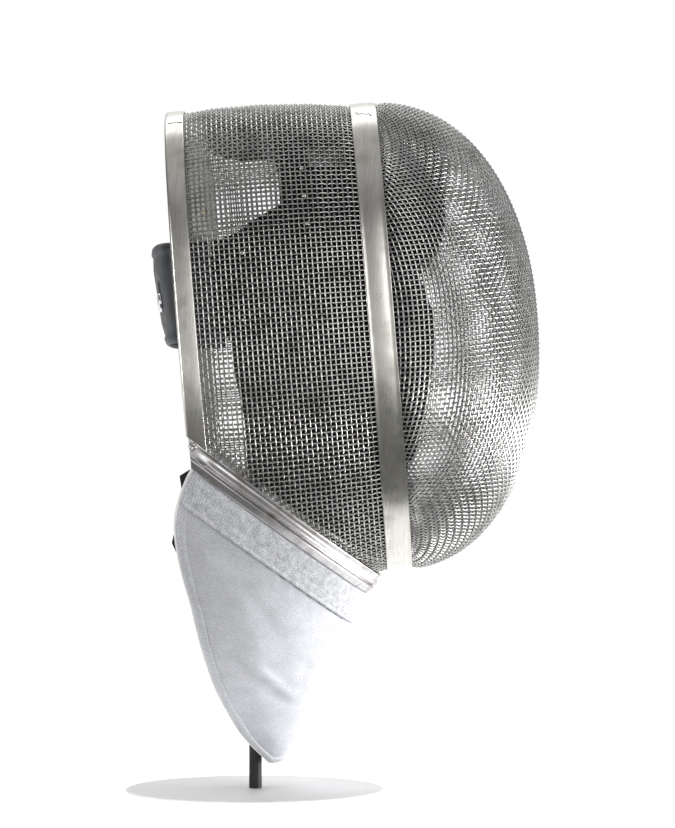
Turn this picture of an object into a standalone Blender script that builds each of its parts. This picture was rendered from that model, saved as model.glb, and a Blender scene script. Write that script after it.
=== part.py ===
"""Fencing mask on a plain stand, in metres, +Z up, with the face of the mask towards -Y.

The mask is drawn in its own frame, which leans back a few degrees: x is across the face, forward is
the distance in front of the ring band, and up is the height over the middle of the ring band.
"""

from math import asin, atan2, cos, pi, radians, sin, sqrt

import bmesh
import bpy
from mathutils import Vector

MM = 0.001

# Clearances in millimetres
GAP = 0.3
FACET_GAP = 0.6
LINING_GAP = 0.9
STRIP_GAP = 0.8

# Place of the mask over the stand
MASK_LEAN = 4.6
RING_HEIGHT = 281.6
RING_IN_FRONT_OF_ROD = 76.75

# Outline of the mask, seen from the front, at the outside of the wire
HALF_HEIGHT = 143.6
HALF_WIDTH = 103.0
SQUARENESS = 2.4
CHIN_TAPER = 0.055
SECTION_STEPS = 56

# Wire mesh
WIRE = 1.0
MESH_THICKNESS = 2 * WIRE
DOME_DEPTH = 97.0
DOME_FULLNESS = 2.3
DOME_ROUNDNESS = 2.1
NOSE_HEIGHT = 7.0
DOME_ROWS = 7
SIDE_DEPTH = 117.6
FLARE = 4.2
FLARE_ROWS = (
    # share of the side depth, share of the flare
    (0.13, 0.00),
    (0.28, 0.55),
    (0.52, 1.00),
    (0.78, 1.00),
    (0.90, 0.60),
    (1.00, 0.60),
)

# Ring band
BAND_WIDTH = 15.3
BAND_THICKNESS = 1.2
BAND_LIP = 0.5
BAND_TUCK = 1.4
TUCK_RAMP = 5.5
BAND_LIP_WIDTH = 1.6
BAND_LIP_SLOPE = 0.3

# Rear trim, a channel folded over the edge of the mesh
TRIM_WIDTH = 9.3
TRIM_LEAF = 1.0
TRIM_BEAD = 1.9
TRIM_BEAD_RISE = 0.4

# Strip that clamps the bib
STRIP_REAR_HEIGHT = -51.1
STRIP_CHIN_SETBACK = 12.0
STRIP_CHIN_DROP = 1.1
STRIP_PAST_MESH = 1.5
STRIP_WIDTH = 13.5
STRIP_PLATE = 1.2
STRIP_RIB = 1.9
STRIP_PROFILE = (
    # share of the width, share of the rib's height over the plate
    (0.00, 0.00),
    (0.38, 0.00),
    (0.42, 0.85),
    (0.46, 1.00),
    (0.50, 0.90),
    (0.56, 0.40),
    (0.60, 0.45),
    (0.66, 0.85),
    (0.72, 0.95),
    (0.80, 0.75),
    (1.00, 0.00),
)
MESH_UNDER_STRIP = 4.0
BIB_UNDER_STRIP = 6.0
RIVET_RADIUS = 2.45
RIVET_HEIGHT = 1.5
RIVET_FROM_END = 2.8
RIVET_FROM_EDGE = 2.6

# Bib
BIB_COVER = 1.2
BIB_LINING = 2.0
BIB_DROP = 203.4
BIB_SWEEP = 29.5
BIB_TIP_DEPTH = 6.2
PLY_GAP = 0.6
HEM_BORDER = 2.4
HEM_ROWS = (
    # share of the height, share of the forward sweep, share of the width at the top
    (0.00, 0.00, 1.000),
    (0.03, -0.12, 0.995),
    (0.07, -0.24, 0.988),
    (0.12, -0.36, 0.979),
    (0.18, -0.44, 0.965),
    (0.26, -0.43, 0.945),
    (0.34, -0.37, 0.920),
    (0.43, -0.265, 0.873),
    (0.53, -0.18, 0.810),
    (0.63, -0.07, 0.727),
    (0.72, 0.07, 0.640),
    (0.80, 0.26, 0.535),
    (0.885, 0.51, 0.400),
    (1.00, 1.00, 0.090),
)
BIB_COLUMNS = 24
BIB_SECTIONS = 10
TAPE_WIDTH = 20.0
TAPE_THICKNESS = 0.8
TAB_THICKNESS = 1.6
TAB_ROOT_SHARE = 0.04
TAB_ROWS = {
    # place: drop of the upper end, drop of the lower end, width behind the bib, width past the hem
    "upper": (1.0, 12.0, 10.0, 3.6),
    "lower": (42.5, 53.5, 9.0, 2.0),
}

# Lining
LINING_THICKNESS = 7.0
LINING_STRIPS = 4
LINING_EDGES = (
    # share of the half height, share of the dome depth in front, share of the side depth behind
    (-1.000, 0.070, 0.050),
    (-0.980, 0.070, 0.095),
    (-0.920, 0.070, 0.200),
    (-0.800, 0.070, 0.365),
    (-0.700, 0.070, 0.506),
    (-0.620, 0.070, 0.620),
    (-0.555, 0.078, 0.700),
    (-0.500, 0.118, 0.735),
    (-0.430, 0.160, 0.720),
    (-0.300, 0.235, 0.722),
    (-0.140, 0.297, 0.747),
    (0.030, 0.320, 0.760),
    (0.060, 0.320, 0.820),
    (0.166, 0.280, 0.820),
    (0.250, 0.228, 0.820),
    (0.347, 0.390, 0.820),
    (0.440, 0.435, 0.820),
    (0.455, 0.440, 0.700),
    (0.500, 0.455, 0.630),
    (0.570, 0.465, 0.460),
    (0.690, 0.470, 0.450),
    (0.775, 0.470, 0.470),
    (0.855, 0.470, 0.490),
    (0.875, 0.470, 0.730),
    (0.900, 0.470, 0.820),
    (0.975, 0.470, 0.820),
    (1.000, 0.470, 0.820),
)

# Cloth patches beside the trim, in the lining's upper rear openings
PATCH_TOP = 0.88
PATCH_BOTTOM = 0.46
PATCH_WIDTH = 11.0
PATCH_THICKNESS = 1.6

# Strap behind the head
STRAP_HEIGHT = 60.0
STRAP_THICKNESS = 5.0
STRAP_MIDDLE_SHARE = 0.2368
STRAP_LEAN = 4.5
STRAP_BULGE = 14.0
STRAP_ROOT = 20.0
STRAP_ROOT_SHARE = 0.2
STRAP_STEPS = 20
STRAP_CORNER = 1.6
STRAP_BACK_POWER = 0.8
STRAP_SIDE_POWER = 0.9
STUD_RADIUS = 5.6
STUD_THICKNESS = 1.6
STUD_ACROSS = 0.42
STUD_DROP = 4.6

# Stand
BASE_RADIUS = 80.0
BASE_THICKNESS = 5.0
BASE_EDGE = 1.5
BASE_SIDES = 40
ROD_RADIUS = 4.0
ROD_SIDES = 14
ROD_CORNER_HEIGHT = 285.0
ROD_CORNER_ROUND = 22.0
REST_IN_FRONT_OF_ROD = 42.0
REST_CROWN_RADIUS = 62.0
REST_THICKNESS = 14.0


def clear_scene():
    """Remove every object of the open file."""
    for old in list(bpy.data.objects):
        bpy.data.objects.remove(old, do_unlink=True)


def collection(name, hidden=False):
    """A new collection linked to the scene."""
    made = bpy.data.collections.new(name)
    bpy.context.scene.collection.children.link(made)
    made.hide_render = hidden
    return made


def material(name, colour, roughness, metallic=0.0):
    """A Principled material with a linear colour."""
    made = bpy.data.materials.new(name)
    made.use_nodes = True
    shader = made.node_tree.nodes["Principled BSDF"]
    shader.inputs["Base Color"].default_value = (*colour, 1.0)
    shader.inputs["Roughness"].default_value = roughness
    shader.inputs["Metallic"].default_value = metallic
    return made


def blend_rows(rows, key, column):
    """The value of a table's column, read in a straight line between its rows."""
    ordered = sorted(rows)
    if key <= ordered[0][0]:
        return ordered[0][column]
    for low, high in zip(ordered, ordered[1:]):
        if key <= high[0]:
            share = (key - low[0]) / (high[0] - low[0])
            return low[column] + (high[column] - low[column]) * share
    return ordered[-1][column]


def curve_rows(rows, key, column):
    """The value of a table's column, read on a smooth curve through its rows."""
    last = len(rows) - 1
    spot = next((i for i in range(last) if key <= rows[i + 1][0]), last - 1)
    before = rows[max(spot - 1, 0)]
    low, high = rows[spot], rows[spot + 1]
    after = rows[min(spot + 2, last)]
    step = high[0] - low[0]
    t = (key - low[0]) / step
    slope_low = (high[column] - before[column]) / (high[0] - before[0]) * step
    slope_high = (after[column] - low[column]) / (after[0] - low[0]) * step
    return (
        (2 * t**3 - 3 * t**2 + 1) * low[column]
        + (t**3 - 2 * t**2 + t) * slope_low
        + (3 * t**2 - 2 * t**3) * high[column]
        + (t**3 - t**2) * slope_high
    )


def outline(angle, grow=0.0):
    """Across and up of the mask's outline, seen from the front, grown along its normal."""

    def on_outline(turn):
        c, s = cos(turn), sin(turn)
        across = abs(c) ** (2 / SQUARENESS) * (1 if c >= 0 else -1)
        up = abs(s) ** (2 / SQUARENESS) * (1 if s >= 0 else -1)
        return Vector((HALF_WIDTH * across * (1 + CHIN_TAPER * s), HALF_HEIGHT * up))

    step = 1e-3
    along = on_outline(angle + step) - on_outline(angle - step)
    normal = Vector((along.y, -along.x)).normalized()
    return on_outline(angle) + normal * grow


def flare(forward):
    """How far the side mesh stands out past the mask's outline."""
    return FLARE * blend_rows(FLARE_ROWS, max(-forward, 0.0) / SIDE_DEPTH, 1)


def tuck(forward):
    """How far the wire is drawn in under the ring band."""
    past_band = abs(forward) - BAND_WIDTH / 2 - GAP
    return BAND_TUCK * min(max(1 - past_band / TUCK_RAMP, 0.0), 1.0)


def dome_share(forward):
    """Size of the dome's section in front of the ring, as a share of the outline."""
    return (1 - (forward / DOME_DEPTH) ** DOME_FULLNESS) ** (1 / DOME_ROUNDNESS)


def dome(angle, forward):
    """A point on the outside of the domed front."""
    share = dome_share(forward)
    across, up = outline(angle, -tuck(forward)) * share
    return Vector((across, -forward, up + NOSE_HEIGHT * (1 - share)))


def wall(angle, forward, inset=0.0):
    """A point on the outside of the wire, or that far inside it."""
    if forward <= 0:
        across, up = outline(angle, flare(forward) - tuck(forward) - inset)
        return Vector((across, -forward, up))
    step = 0.01
    round_run = dome(angle + step, forward) - dome(angle - step, forward)
    depth_run = dome(angle, forward + step) - dome(angle, max(forward - step, 0.0))
    return dome(angle, forward) - round_run.cross(depth_run).normalized() * inset


def strip_plane():
    """A point of the strip's upper edge at the chin, and its directions to the rear and down."""
    chin = Vector((0, STRIP_CHIN_SETBACK, -HALF_HEIGHT - STRIP_CHIN_DROP))
    rear = Vector((0, SIDE_DEPTH + STRIP_PAST_MESH, STRIP_REAR_HEIGHT))
    uphill = (rear - chin).normalized()
    down = Vector((0, uphill.z, -uphill.y))
    return chin, uphill, down


def cut_forward(up, below):
    """Forward distance of the strip's plane at a height, moved down the strip."""
    chin, uphill, down = strip_plane()
    start = chin + down * below
    return -(start.y + (up - start.z) * uphill.y / uphill.z)


def strip_curve(below, grow, steps):
    """Points round the chin on the strip's wall, from its left rear end to its right."""
    chin, uphill, down = strip_plane()
    rear_back = SIDE_DEPTH + STRIP_PAST_MESH - down.y * below
    rear_up = chin.z + (rear_back - chin.y) * uphill.z / uphill.y
    low, high = -pi / 2, -asin((abs(rear_up) / HALF_HEIGHT) ** (SQUARENESS / 2))
    on_mesh = []
    for step in range(steps + 1):
        side = 2 * step / steps - 1
        turn = low + (high - low) * abs(side)
        forward = 0.0
        for _ in range(8):
            across, up = outline(turn, flare(forward) - tuck(forward))
            forward = cut_forward(up, 0.0)
        on_mesh.append(Vector((across * (1 if side >= 0 else -1), -forward, up)) + down * below)
    points = []
    for i, spot in enumerate(on_mesh):
        along = on_mesh[min(i + 1, steps)] - on_mesh[max(i - 1, 0)]
        outward = down.cross(along).normalized()
        points.append(spot + outward * grow)
    return points


def shaped_grid(columns, rows, place):
    """A grid whose corners are moved to place(share along, share across), with outward faces."""
    bm = bmesh.new()
    bmesh.ops.create_grid(bm, x_segments=columns, y_segments=rows, size=0.5)
    for corner in bm.verts:
        along = round(corner.co.x + 0.5, 6)
        across = round(corner.co.y + 0.5, 6)
        corner.co = place(along, across) * MM
    bmesh.ops.remove_doubles(bm, verts=bm.verts, dist=0.01 * MM)
    return bm


def add_piece(name, bm, finish, parent=None):
    """Turn a bmesh into a named object in the mask's collection."""
    mesh = bpy.data.meshes.new(name)
    bm.to_mesh(mesh)
    bm.free()
    mesh.materials.append(finish)
    piece = bpy.data.objects.new(name, mesh)
    parts.objects.link(piece)
    piece.parent = parent
    return piece


def smooth(piece, angle=35):
    """Shade a piece smooth, with its real edges kept sharp."""
    piece.data.shade_smooth()
    piece.data.set_sharp_from_angle(angle=radians(angle))


def thicken(piece, thickness):
    """Give an open surface a wall on its inner side."""
    wall_maker = piece.modifiers.new("Wall", "SOLIDIFY")
    wall_maker.thickness = thickness * MM
    wall_maker.offset = -1
    wall_maker.use_even_offset = True
    return piece


def shell(name, columns, rows, place, thickness, finish):
    """A cloth or mesh wall, from its outer surface inwards."""
    piece = add_piece(name, shaped_grid(columns, rows, place), finish, mask_frame)
    smooth(piece)
    return thicken(piece, thickness)


def swept(name, path, profile, finish, closed, normal):
    """A profile of (outwards, along the normal) pairs, swept round a flat path."""
    rings = []
    count = len(path)
    for i, spot in enumerate(path):
        before = path[(i - 1) % count] if closed or i else spot
        after = path[(i + 1) % count] if closed or i < count - 1 else spot
        outward = (after - before).cross(normal).normalized()
        rings.append([spot + outward * out + normal * side for out, side in profile])
    return joined_rings(name, rings, finish, closed, mask_frame)


def joined_rings(name, rings, finish, closed, parent):
    """A solid through rings of as many points each, with flat ends where it isn't closed."""
    bm = bmesh.new()
    rings = [[bm.verts.new(spot * MM) for spot in ring] for ring in rings]
    for ring, following in zip(rings, rings[1:] + (rings[:1] if closed else [])):
        for j in range(len(ring)):
            k = (j + 1) % len(ring)
            bm.faces.new((ring[j], ring[k], following[k], following[j]))
    if not closed:
        bm.faces.new(rings[0][::-1])
        bm.faces.new(rings[-1])
    bmesh.ops.recalc_face_normals(bm, faces=bm.faces)
    piece = add_piece(name, bm, finish, parent)
    smooth(piece)
    return piece


def make_front_mesh():
    """Domed wire front, from just inside the ring band to the nose."""
    under_band = BAND_WIDTH / 2 + GAP
    rows = [GAP / 2, under_band, under_band + TUCK_RAMP]
    first = asin((rows[-1] / DOME_DEPTH) ** (DOME_FULLNESS / 2))
    for row in range(1, DOME_ROWS + 1):
        rise = first + (pi / 2 - first) * row / DOME_ROWS
        rows.append(DOME_DEPTH * sin(rise) ** (2 / DOME_FULLNESS))

    def place(along, across):
        row = round(across * (len(rows) - 1))
        if row == len(rows) - 1:
            return Vector((0, -DOME_DEPTH, NOSE_HEIGHT))
        return wall(2 * pi * along, rows[row])

    shell("front_mesh", SECTION_STEPS, len(rows) - 1, place, MESH_THICKNESS, wire_steel)


def make_side_mesh():
    """Wire sides and crown, from the ring band back to the trim, cut off under the bib's strip."""
    under_band = BAND_WIDTH / 2 + GAP
    rows = [GAP / 2, under_band, under_band + TUCK_RAMP]
    rows += [SIDE_DEPTH * share for share, size in FLARE_ROWS[1:]]
    rows.reverse()

    def place(along, across):
        turn = 2 * pi * along
        up = outline(turn).y
        back = rows[round(across * (len(rows) - 1))]
        if up < 0:
            cut = max(-cut_forward(up, MESH_UNDER_STRIP), under_band + GAP)
            if back > under_band:
                cut = min(cut, SIDE_DEPTH)
                back = under_band + (back - under_band) * (cut - under_band) / (SIDE_DEPTH - under_band)
        return wall(turn, -back)

    shell("side_mesh", SECTION_STEPS, len(rows) - 1, place, MESH_THICKNESS, wire_steel)


def make_ring_band():
    """Steel band with a raised lip along each edge, round the joint of the two meshes."""
    path = [outline(2 * pi * i / SECTION_STEPS, GAP - BAND_TUCK) for i in range(SECTION_STEPS)]
    half = BAND_WIDTH / 2
    lip = half - BAND_LIP_WIDTH
    low, high = BAND_THICKNESS - BAND_LIP, BAND_THICKNESS
    profile = [
        (0, -half),
        (high, -half),
        (high, -lip - BAND_LIP_SLOPE),
        (low, -lip),
        (low, lip),
        (high, lip + BAND_LIP_SLOPE),
        (high, half),
        (0, half),
    ]
    spots = [Vector((p.x, 0, p.y)) for p in path]
    return swept("ring_band", spots, profile, band_steel, True, Vector((0, -1, 0)))


def make_rear_trim():
    """Channel folded over the rear edge of the side mesh, cut off over the strip's ends."""
    depth = SIDE_DEPTH + GAP + TRIM_BEAD
    outside = GAP + TRIM_LEAF
    inside = -(MESH_THICKNESS + GAP + TRIM_LEAF)
    profile = [
        (GAP, TRIM_WIDTH),
        (outside, TRIM_WIDTH),
        (outside, TRIM_BEAD),
        (outside + TRIM_BEAD_RISE, 0.75 * TRIM_BEAD),
        (outside - TRIM_BEAD_RISE, 0),
        (inside + TRIM_BEAD_RISE, 0),
        (inside, 0.5 * TRIM_BEAD),
        (inside, TRIM_WIDTH),
        (inside + TRIM_LEAF, TRIM_WIDTH),
        (inside + TRIM_LEAF, TRIM_BEAD),
        (GAP, TRIM_BEAD),
    ]
    past_strip = -STRIP_REAR_HEIGHT + TRIM_WIDTH
    start = -asin((past_strip / HALF_HEIGHT) ** (SQUARENESS / 2))
    stop = pi - start
    steps = round((stop - start) / (2 * pi) * SECTION_STEPS)
    grow = flare(-SIDE_DEPTH)
    path = [outline(start + (stop - start) * i / steps, grow) for i in range(steps + 1)]
    spots = [Vector((p.x, depth, p.y)) for p in path]
    piece = swept("rear_trim", spots, profile, trim_steel, False, Vector((0, -1, 0)))
    chin, uphill, down = strip_plane()
    bpy.ops.mesh.primitive_cube_add(size=1)
    cutter = bpy.context.object
    cutter.name = "trim_cutter"
    reach = 2 * (HALF_HEIGHT + SIDE_DEPTH)
    cutter.data.transform(cutter.matrix_world.Scale(reach * MM, 4))
    middle = chin - down * GAP + down * (reach / 2)
    cutter.parent = mask_frame
    cutter.location = middle * MM
    cutter.rotation_euler = (atan2(uphill.z, uphill.y), 0, 0)
    hide_guide(cutter)
    cut = piece.modifiers.new("Cut over the strip", "BOOLEAN")
    cut.operation = "DIFFERENCE"
    cut.object = cutter
    return piece


def hide_guide(guide):
    """Keep a cutter out of the model."""
    for home in list(guide.users_collection):
        home.objects.unlink(guide)
    guides.objects.link(guide)
    guide.display_type = "WIRE"
    guide.hide_render = True


def make_strip():
    """Ribbed strip bent round the chin, with a rivet at each rear end."""
    profile = [(STRIP_PLATE + STRIP_RIB * rib, STRIP_WIDTH * share) for share, rib in STRIP_PROFILE]
    profile += [(0, STRIP_WIDTH), (0, 0)]
    lines = [strip_curve(below, STRIP_GAP + out, BIB_COLUMNS) for out, below in profile]
    joined_rings("bib_strip", [list(ring) for ring in zip(*lines)], strip_metal, False, mask_frame)
    down = strip_plane()[2]
    face = strip_curve(RIVET_FROM_EDGE, STRIP_GAP + STRIP_PLATE + GAP, BIB_COLUMNS)
    for name, end, before in (("bib_rivet_left", *face[:2]), ("bib_rivet_right", *face[:-3:-1])):
        inward = (before - end).normalized()
        normal = inward.cross(down).normalized()
        if normal.x * end.x < 0:
            normal.negate()
        seat = end + inward * RIVET_FROM_END
        cap(name, seat, normal, RIVET_RADIUS, RIVET_RADIUS, RIVET_HEIGHT, band_steel)


def cap(name, seat, normal, across, along, height, finish):
    """Half of a flattened ball that lies with its flat side on a seat."""
    bm = bmesh.new()
    bmesh.ops.create_uvsphere(bm, u_segments=16, v_segments=8, radius=1)
    everything = bm.verts[:] + bm.edges[:] + bm.faces[:]
    bmesh.ops.bisect_plane(
        bm, geom=everything, dist=1e-5, plane_co=(0, 0, 0), plane_no=(0, 0, 1), clear_inner=True
    )
    bmesh.ops.holes_fill(bm, edges=[edge for edge in bm.edges if edge.is_boundary])
    for corner in bm.verts:
        corner.co = Vector((corner.co.x * across, corner.co.y * along, corner.co.z * height)) * MM
    bmesh.ops.recalc_face_normals(bm, faces=bm.faces)
    piece = add_piece(name, bm, finish, mask_frame)
    piece.location = seat * MM
    piece.rotation_euler = normal.to_track_quat("Z", "Y").to_euler()
    smooth(piece)


def bib_point(round_share, down_share):
    """A point on the outside of the bib, from its left hem round the chin and down to its tip."""
    if down_share < 0:
        return bib_point(round_share, 0) + strip_plane()[2] * BIB_DROP * down_share
    spot = abs(2 * round_share - 1)
    side = 1 if round_share >= 0.5 else -1
    index = min(spot, 1.0) * BIB_COLUMNS
    low = bib_top[BIB_COLUMNS + int(index)]
    high = bib_top[min(BIB_COLUMNS + int(index) + 1, 2 * BIB_COLUMNS)]
    on_top = low.lerp(high, index - int(index))
    middle, corner = bib_top[BIB_COLUMNS], bib_top[-1]
    tip_up = STRIP_REAR_HEIGHT - BIB_DROP
    up_step = tip_up - corner.z
    hem_back = corner.y - BIB_SWEEP * curve_rows(HEM_ROWS, down_share, 1)
    hem = Vector((0, hem_back, corner.z + up_step * down_share))
    tip_front = corner.y - BIB_SWEEP - BIB_TIP_DEPTH
    front = Vector((0, middle.y, middle.z)).lerp(Vector((0, tip_front, tip_up)), down_share)
    rise = (on_top.z - middle.z) / (corner.z - middle.z)
    point = front.lerp(hem, rise)
    point.x = side * abs(on_top.x) * curve_rows(HEM_ROWS, down_share, 2)
    return point


def bib_wall(round_share, down_share, inset):
    """A point that far inside the bib's outer surface."""
    step = 0.01
    round_low, round_high = max(round_share - step, 0.0), min(round_share + step, 1.0)
    down_low, down_high = down_share - step, min(down_share + step, 1.0)
    across = bib_point(round_high, down_share) - bib_point(round_low, down_share)
    down = bib_point(round_share, down_high) - bib_point(round_share, down_low)
    normal = across.cross(down).normalized()
    return bib_point(round_share, down_share) + normal * inset


def bib_length(round_share):
    """Length of the bib from the strip to the tip, along one line of it."""
    steps = 8
    spots = [bib_point(round_share, i / steps) for i in range(steps + 1)]
    return sum((b - a).length for a, b in zip(spots, spots[1:]))


def half_round(down_share):
    """Length of the bib from its middle line to the hem, at one height."""
    steps = 8
    spots = [bib_point(0.5 + 0.5 * i / steps, down_share) for i in range(steps + 1)]
    return sum((b - a).length for a, b in zip(spots, spots[1:]))


def make_bib():
    """Outer cloth, inner cloth and tape of the bib."""
    under = (STRIP_WIDTH + GAP - BIB_UNDER_STRIP) / BIB_DROP

    def down_to(share, end):
        under_strip = 1 / BIB_SECTIONS
        if share < under_strip - 1e-6:
            return -under * (1 - share / under_strip)
        return end * (share - under_strip) / (1 - under_strip)

    def cover(along, across):
        down = down_to(1 - across, 1 - HEM_BORDER / BIB_DROP)
        border = HEM_BORDER / half_round(max(down, 0.0))
        return bib_wall(0.5 + (along - 0.5) * (1 - border), down, 0.0)

    def inner(along, across):
        return bib_wall(along, down_to(1 - across, 1.0), BIB_COVER + PLY_GAP)

    def tape(along, across):
        round_share = 0.5 + (along - 0.5) * (1 - HEM_BORDER / half_round(0.1))
        down = (PLY_GAP + TAPE_WIDTH * (1 - across)) / bib_length(round_share)
        return bib_wall(round_share, down, -TAPE_THICKNESS - PLY_GAP)

    shell("bib_cover", BIB_COLUMNS, BIB_SECTIONS, cover, BIB_COVER, lame_cloth)
    shell("bib_lining", BIB_COLUMNS, BIB_SECTIONS, inner, BIB_LINING, white_cloth)
    shell("bib_tape", BIB_COLUMNS, 2, tape, TAPE_THICKNESS, tape_cloth)


def make_tabs():
    """Black tabs behind the bib, which reach a little past its hem."""
    inset = BIB_COVER + BIB_LINING + 2 * PLY_GAP
    for place_name, (high, low, behind, past) in TAB_ROWS.items():
        for side, side_name in ((0, "left"), (1, "right")):

            def tab(along, across):
                down = (high + (low - high) * (1 - across)) / BIB_DROP
                hem = bib_wall(side, down, inset)
                inner = bib_wall(abs(side - TAB_ROOT_SHARE), down, inset)
                reach = along if side else 1 - along
                distance = past * reach - behind * (1 - reach)
                return hem + (hem - inner).normalized() * distance

            shell(f"tab_{place_name}_{side_name}", 3, 2, tab, TAB_THICKNESS, black_tape)


def make_lining():
    """Padded lining inside the wire, with its front edge round the face and openings at the rear."""
    half = [asin(abs(row[0]) ** (SQUARENESS / 2)) * (1 if row[0] > 0 else -1) for row in LINING_EDGES]
    turns = half + [pi - turn for turn in half[-2:0:-1]] + [half[0] + 2 * pi]

    def place(along, across):
        turn = turns[round(along * (len(turns) - 1))]
        up = outline(turn).y / HALF_HEIGHT
        front = DOME_DEPTH * blend_rows(LINING_EDGES, up, 1)
        rear = -SIDE_DEPTH * blend_rows(LINING_EDGES, up, 2)
        forward = rear + (front - rear) * across
        inset = MESH_THICKNESS + LINING_GAP + BAND_TUCK - tuck(forward)
        return wall(turn, forward, inset)

    shell("lining", len(turns) - 1, LINING_STRIPS, place, LINING_THICKNESS, lining_cloth)


def make_patches():
    """Cloth patches against the wire, just in front of the trim."""
    low, high = (asin(share ** (SQUARENESS / 2)) for share in (PATCH_BOTTOM, PATCH_TOP))
    rear = -SIDE_DEPTH + TRIM_WIDTH
    for side, side_name in ((-1, "left"), (1, "right")):

        def patch(along, across):
            turn = low + (high - low) * (along if side > 0 else 1 - along)
            spot = wall(turn, rear + PATCH_WIDTH * across, MESH_THICKNESS + GAP)
            return Vector((side * spot.x, spot.y, spot.z))

        shell(f"window_patch_{side_name}", 5, 2, patch, PATCH_THICKNESS, patch_cloth)


def strap_point(along, across):
    """A point on the outer face of the strap, from its left root round behind the head."""
    height = HALF_HEIGHT * STRAP_MIDDLE_SHARE + STRAP_HEIGHT * (across - 0.5)
    turn = asin((height / HALF_HEIGHT) ** (SQUARENESS / 2)) if height > 0 else 0.0
    inset = MESH_THICKNESS + GAP + TRIM_LEAF + GAP
    root = wall(turn, -SIDE_DEPTH, inset).x
    side = -1 if along < 0.5 else 1
    spot = abs(2 * along - 1)
    if spot > 1 - STRAP_ROOT_SHARE:
        forward = -SIDE_DEPTH + STRAP_ROOT * (spot - 1 + STRAP_ROOT_SHARE) / STRAP_ROOT_SHARE
        return Vector((side * root, -forward, height))
    turn_back = (1 - spot / (1 - STRAP_ROOT_SHARE)) * pi / 2
    lean = STRAP_HEIGHT * (across - 0.5) * sin(radians(STRAP_LEAN)) * sin(turn_back)
    back = SIDE_DEPTH + (STRAP_BULGE + TRIM_BEAD) * sin(turn_back) ** STRAP_BACK_POWER + lean
    return Vector((side * root * cos(turn_back) ** STRAP_SIDE_POWER, back, height))


def make_strap():
    """Moulded strap behind the head, between the two sides of the trim, and its stud."""

    def place(along, across):
        return strap_point(1 - along, across)

    strap = shell("back_strap", STRAP_STEPS, 4, place, STRAP_THICKNESS, strap_rubber)
    edge = strap.modifiers.new("Rounded edges", "BEVEL")
    edge.width = STRAP_CORNER * MM
    edge.segments = 1
    edge.limit_method = "ANGLE"
    edge.angle_limit = radians(50)
    along, across = 0.5 - STUD_ACROSS / 2, 0.5 - STUD_DROP / STRAP_HEIGHT
    spot = strap_point(along, across)
    step = 0.01
    run = strap_point(along + step, across) - strap_point(along - step, across)
    rise = strap_point(along, across + step) - strap_point(along, across - step)
    normal = rise.cross(run).normalized()
    seat = spot + normal * GAP
    cap("strap_stud", seat, normal, STUD_RADIUS, STUD_RADIUS, STUD_THICKNESS, stud_steel)


def turned_disc(name, radius, height, edge, finish, sides):
    """A round plate with a rounded upper edge, its underside at the origin."""
    bpy.ops.mesh.primitive_cylinder_add(vertices=sides, radius=radius * MM, depth=height * MM)
    piece = bpy.context.object
    piece.name = name
    piece.data.transform(piece.matrix_world.Translation((0, 0, height * MM / 2)))
    bm = bmesh.new()
    bm.from_mesh(piece.data)
    rim = [e for e in bm.edges if all(v.co.z > height * MM * 0.9 for v in e.verts)]
    bmesh.ops.bevel(bm, geom=rim, offset=edge * MM, segments=2, profile=0.5, affect="EDGES")
    bm.to_mesh(piece.data)
    bm.free()
    for home in list(piece.users_collection):
        home.objects.unlink(piece)
    parts.objects.link(piece)
    piece.data.materials.append(finish)
    smooth(piece)


def rest_place():
    """Distance behind the ring and height, in the mask's frame, of the middle of the rest's ball."""
    lean = radians(MASK_LEAN)
    inset = MESH_THICKNESS + LINING_GAP + BAND_TUCK + LINING_THICKNESS
    in_front_of_ring = REST_IN_FRONT_OF_ROD - RING_IN_FRONT_OF_ROD
    back = -in_front_of_ring * cos(lean) - HALF_HEIGHT * sin(lean)
    reach = REST_CROWN_RADIUS + FACET_GAP
    heights = []
    for step in range(-6, 7):
        beside = step * reach / 15
        crown = wall(pi / 2, -back - beside, inset).z
        heights.append(crown - sqrt(reach**2 - beside**2))
    return back, min(heights)


def make_rest(back, middle):
    """The rounded rest under the mask's crown."""
    bm = bmesh.new()
    bmesh.ops.create_uvsphere(bm, u_segments=28, v_segments=20, radius=REST_CROWN_RADIUS * MM)
    everything = bm.verts[:] + bm.edges[:] + bm.faces[:]
    underside = (0, 0, (REST_CROWN_RADIUS - REST_THICKNESS) * MM)
    bmesh.ops.bisect_plane(
        bm, geom=everything, dist=1e-6, plane_co=underside, plane_no=(0, 0, 1), clear_inner=True
    )
    bmesh.ops.holes_fill(bm, edges=[edge for edge in bm.edges if edge.is_boundary])
    bmesh.ops.recalc_face_normals(bm, faces=bm.faces)
    rest = add_piece("stand_rest", bm, black_steel, mask_frame)
    rest.location = Vector((0, back, middle)) * MM
    smooth(rest)


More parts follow.
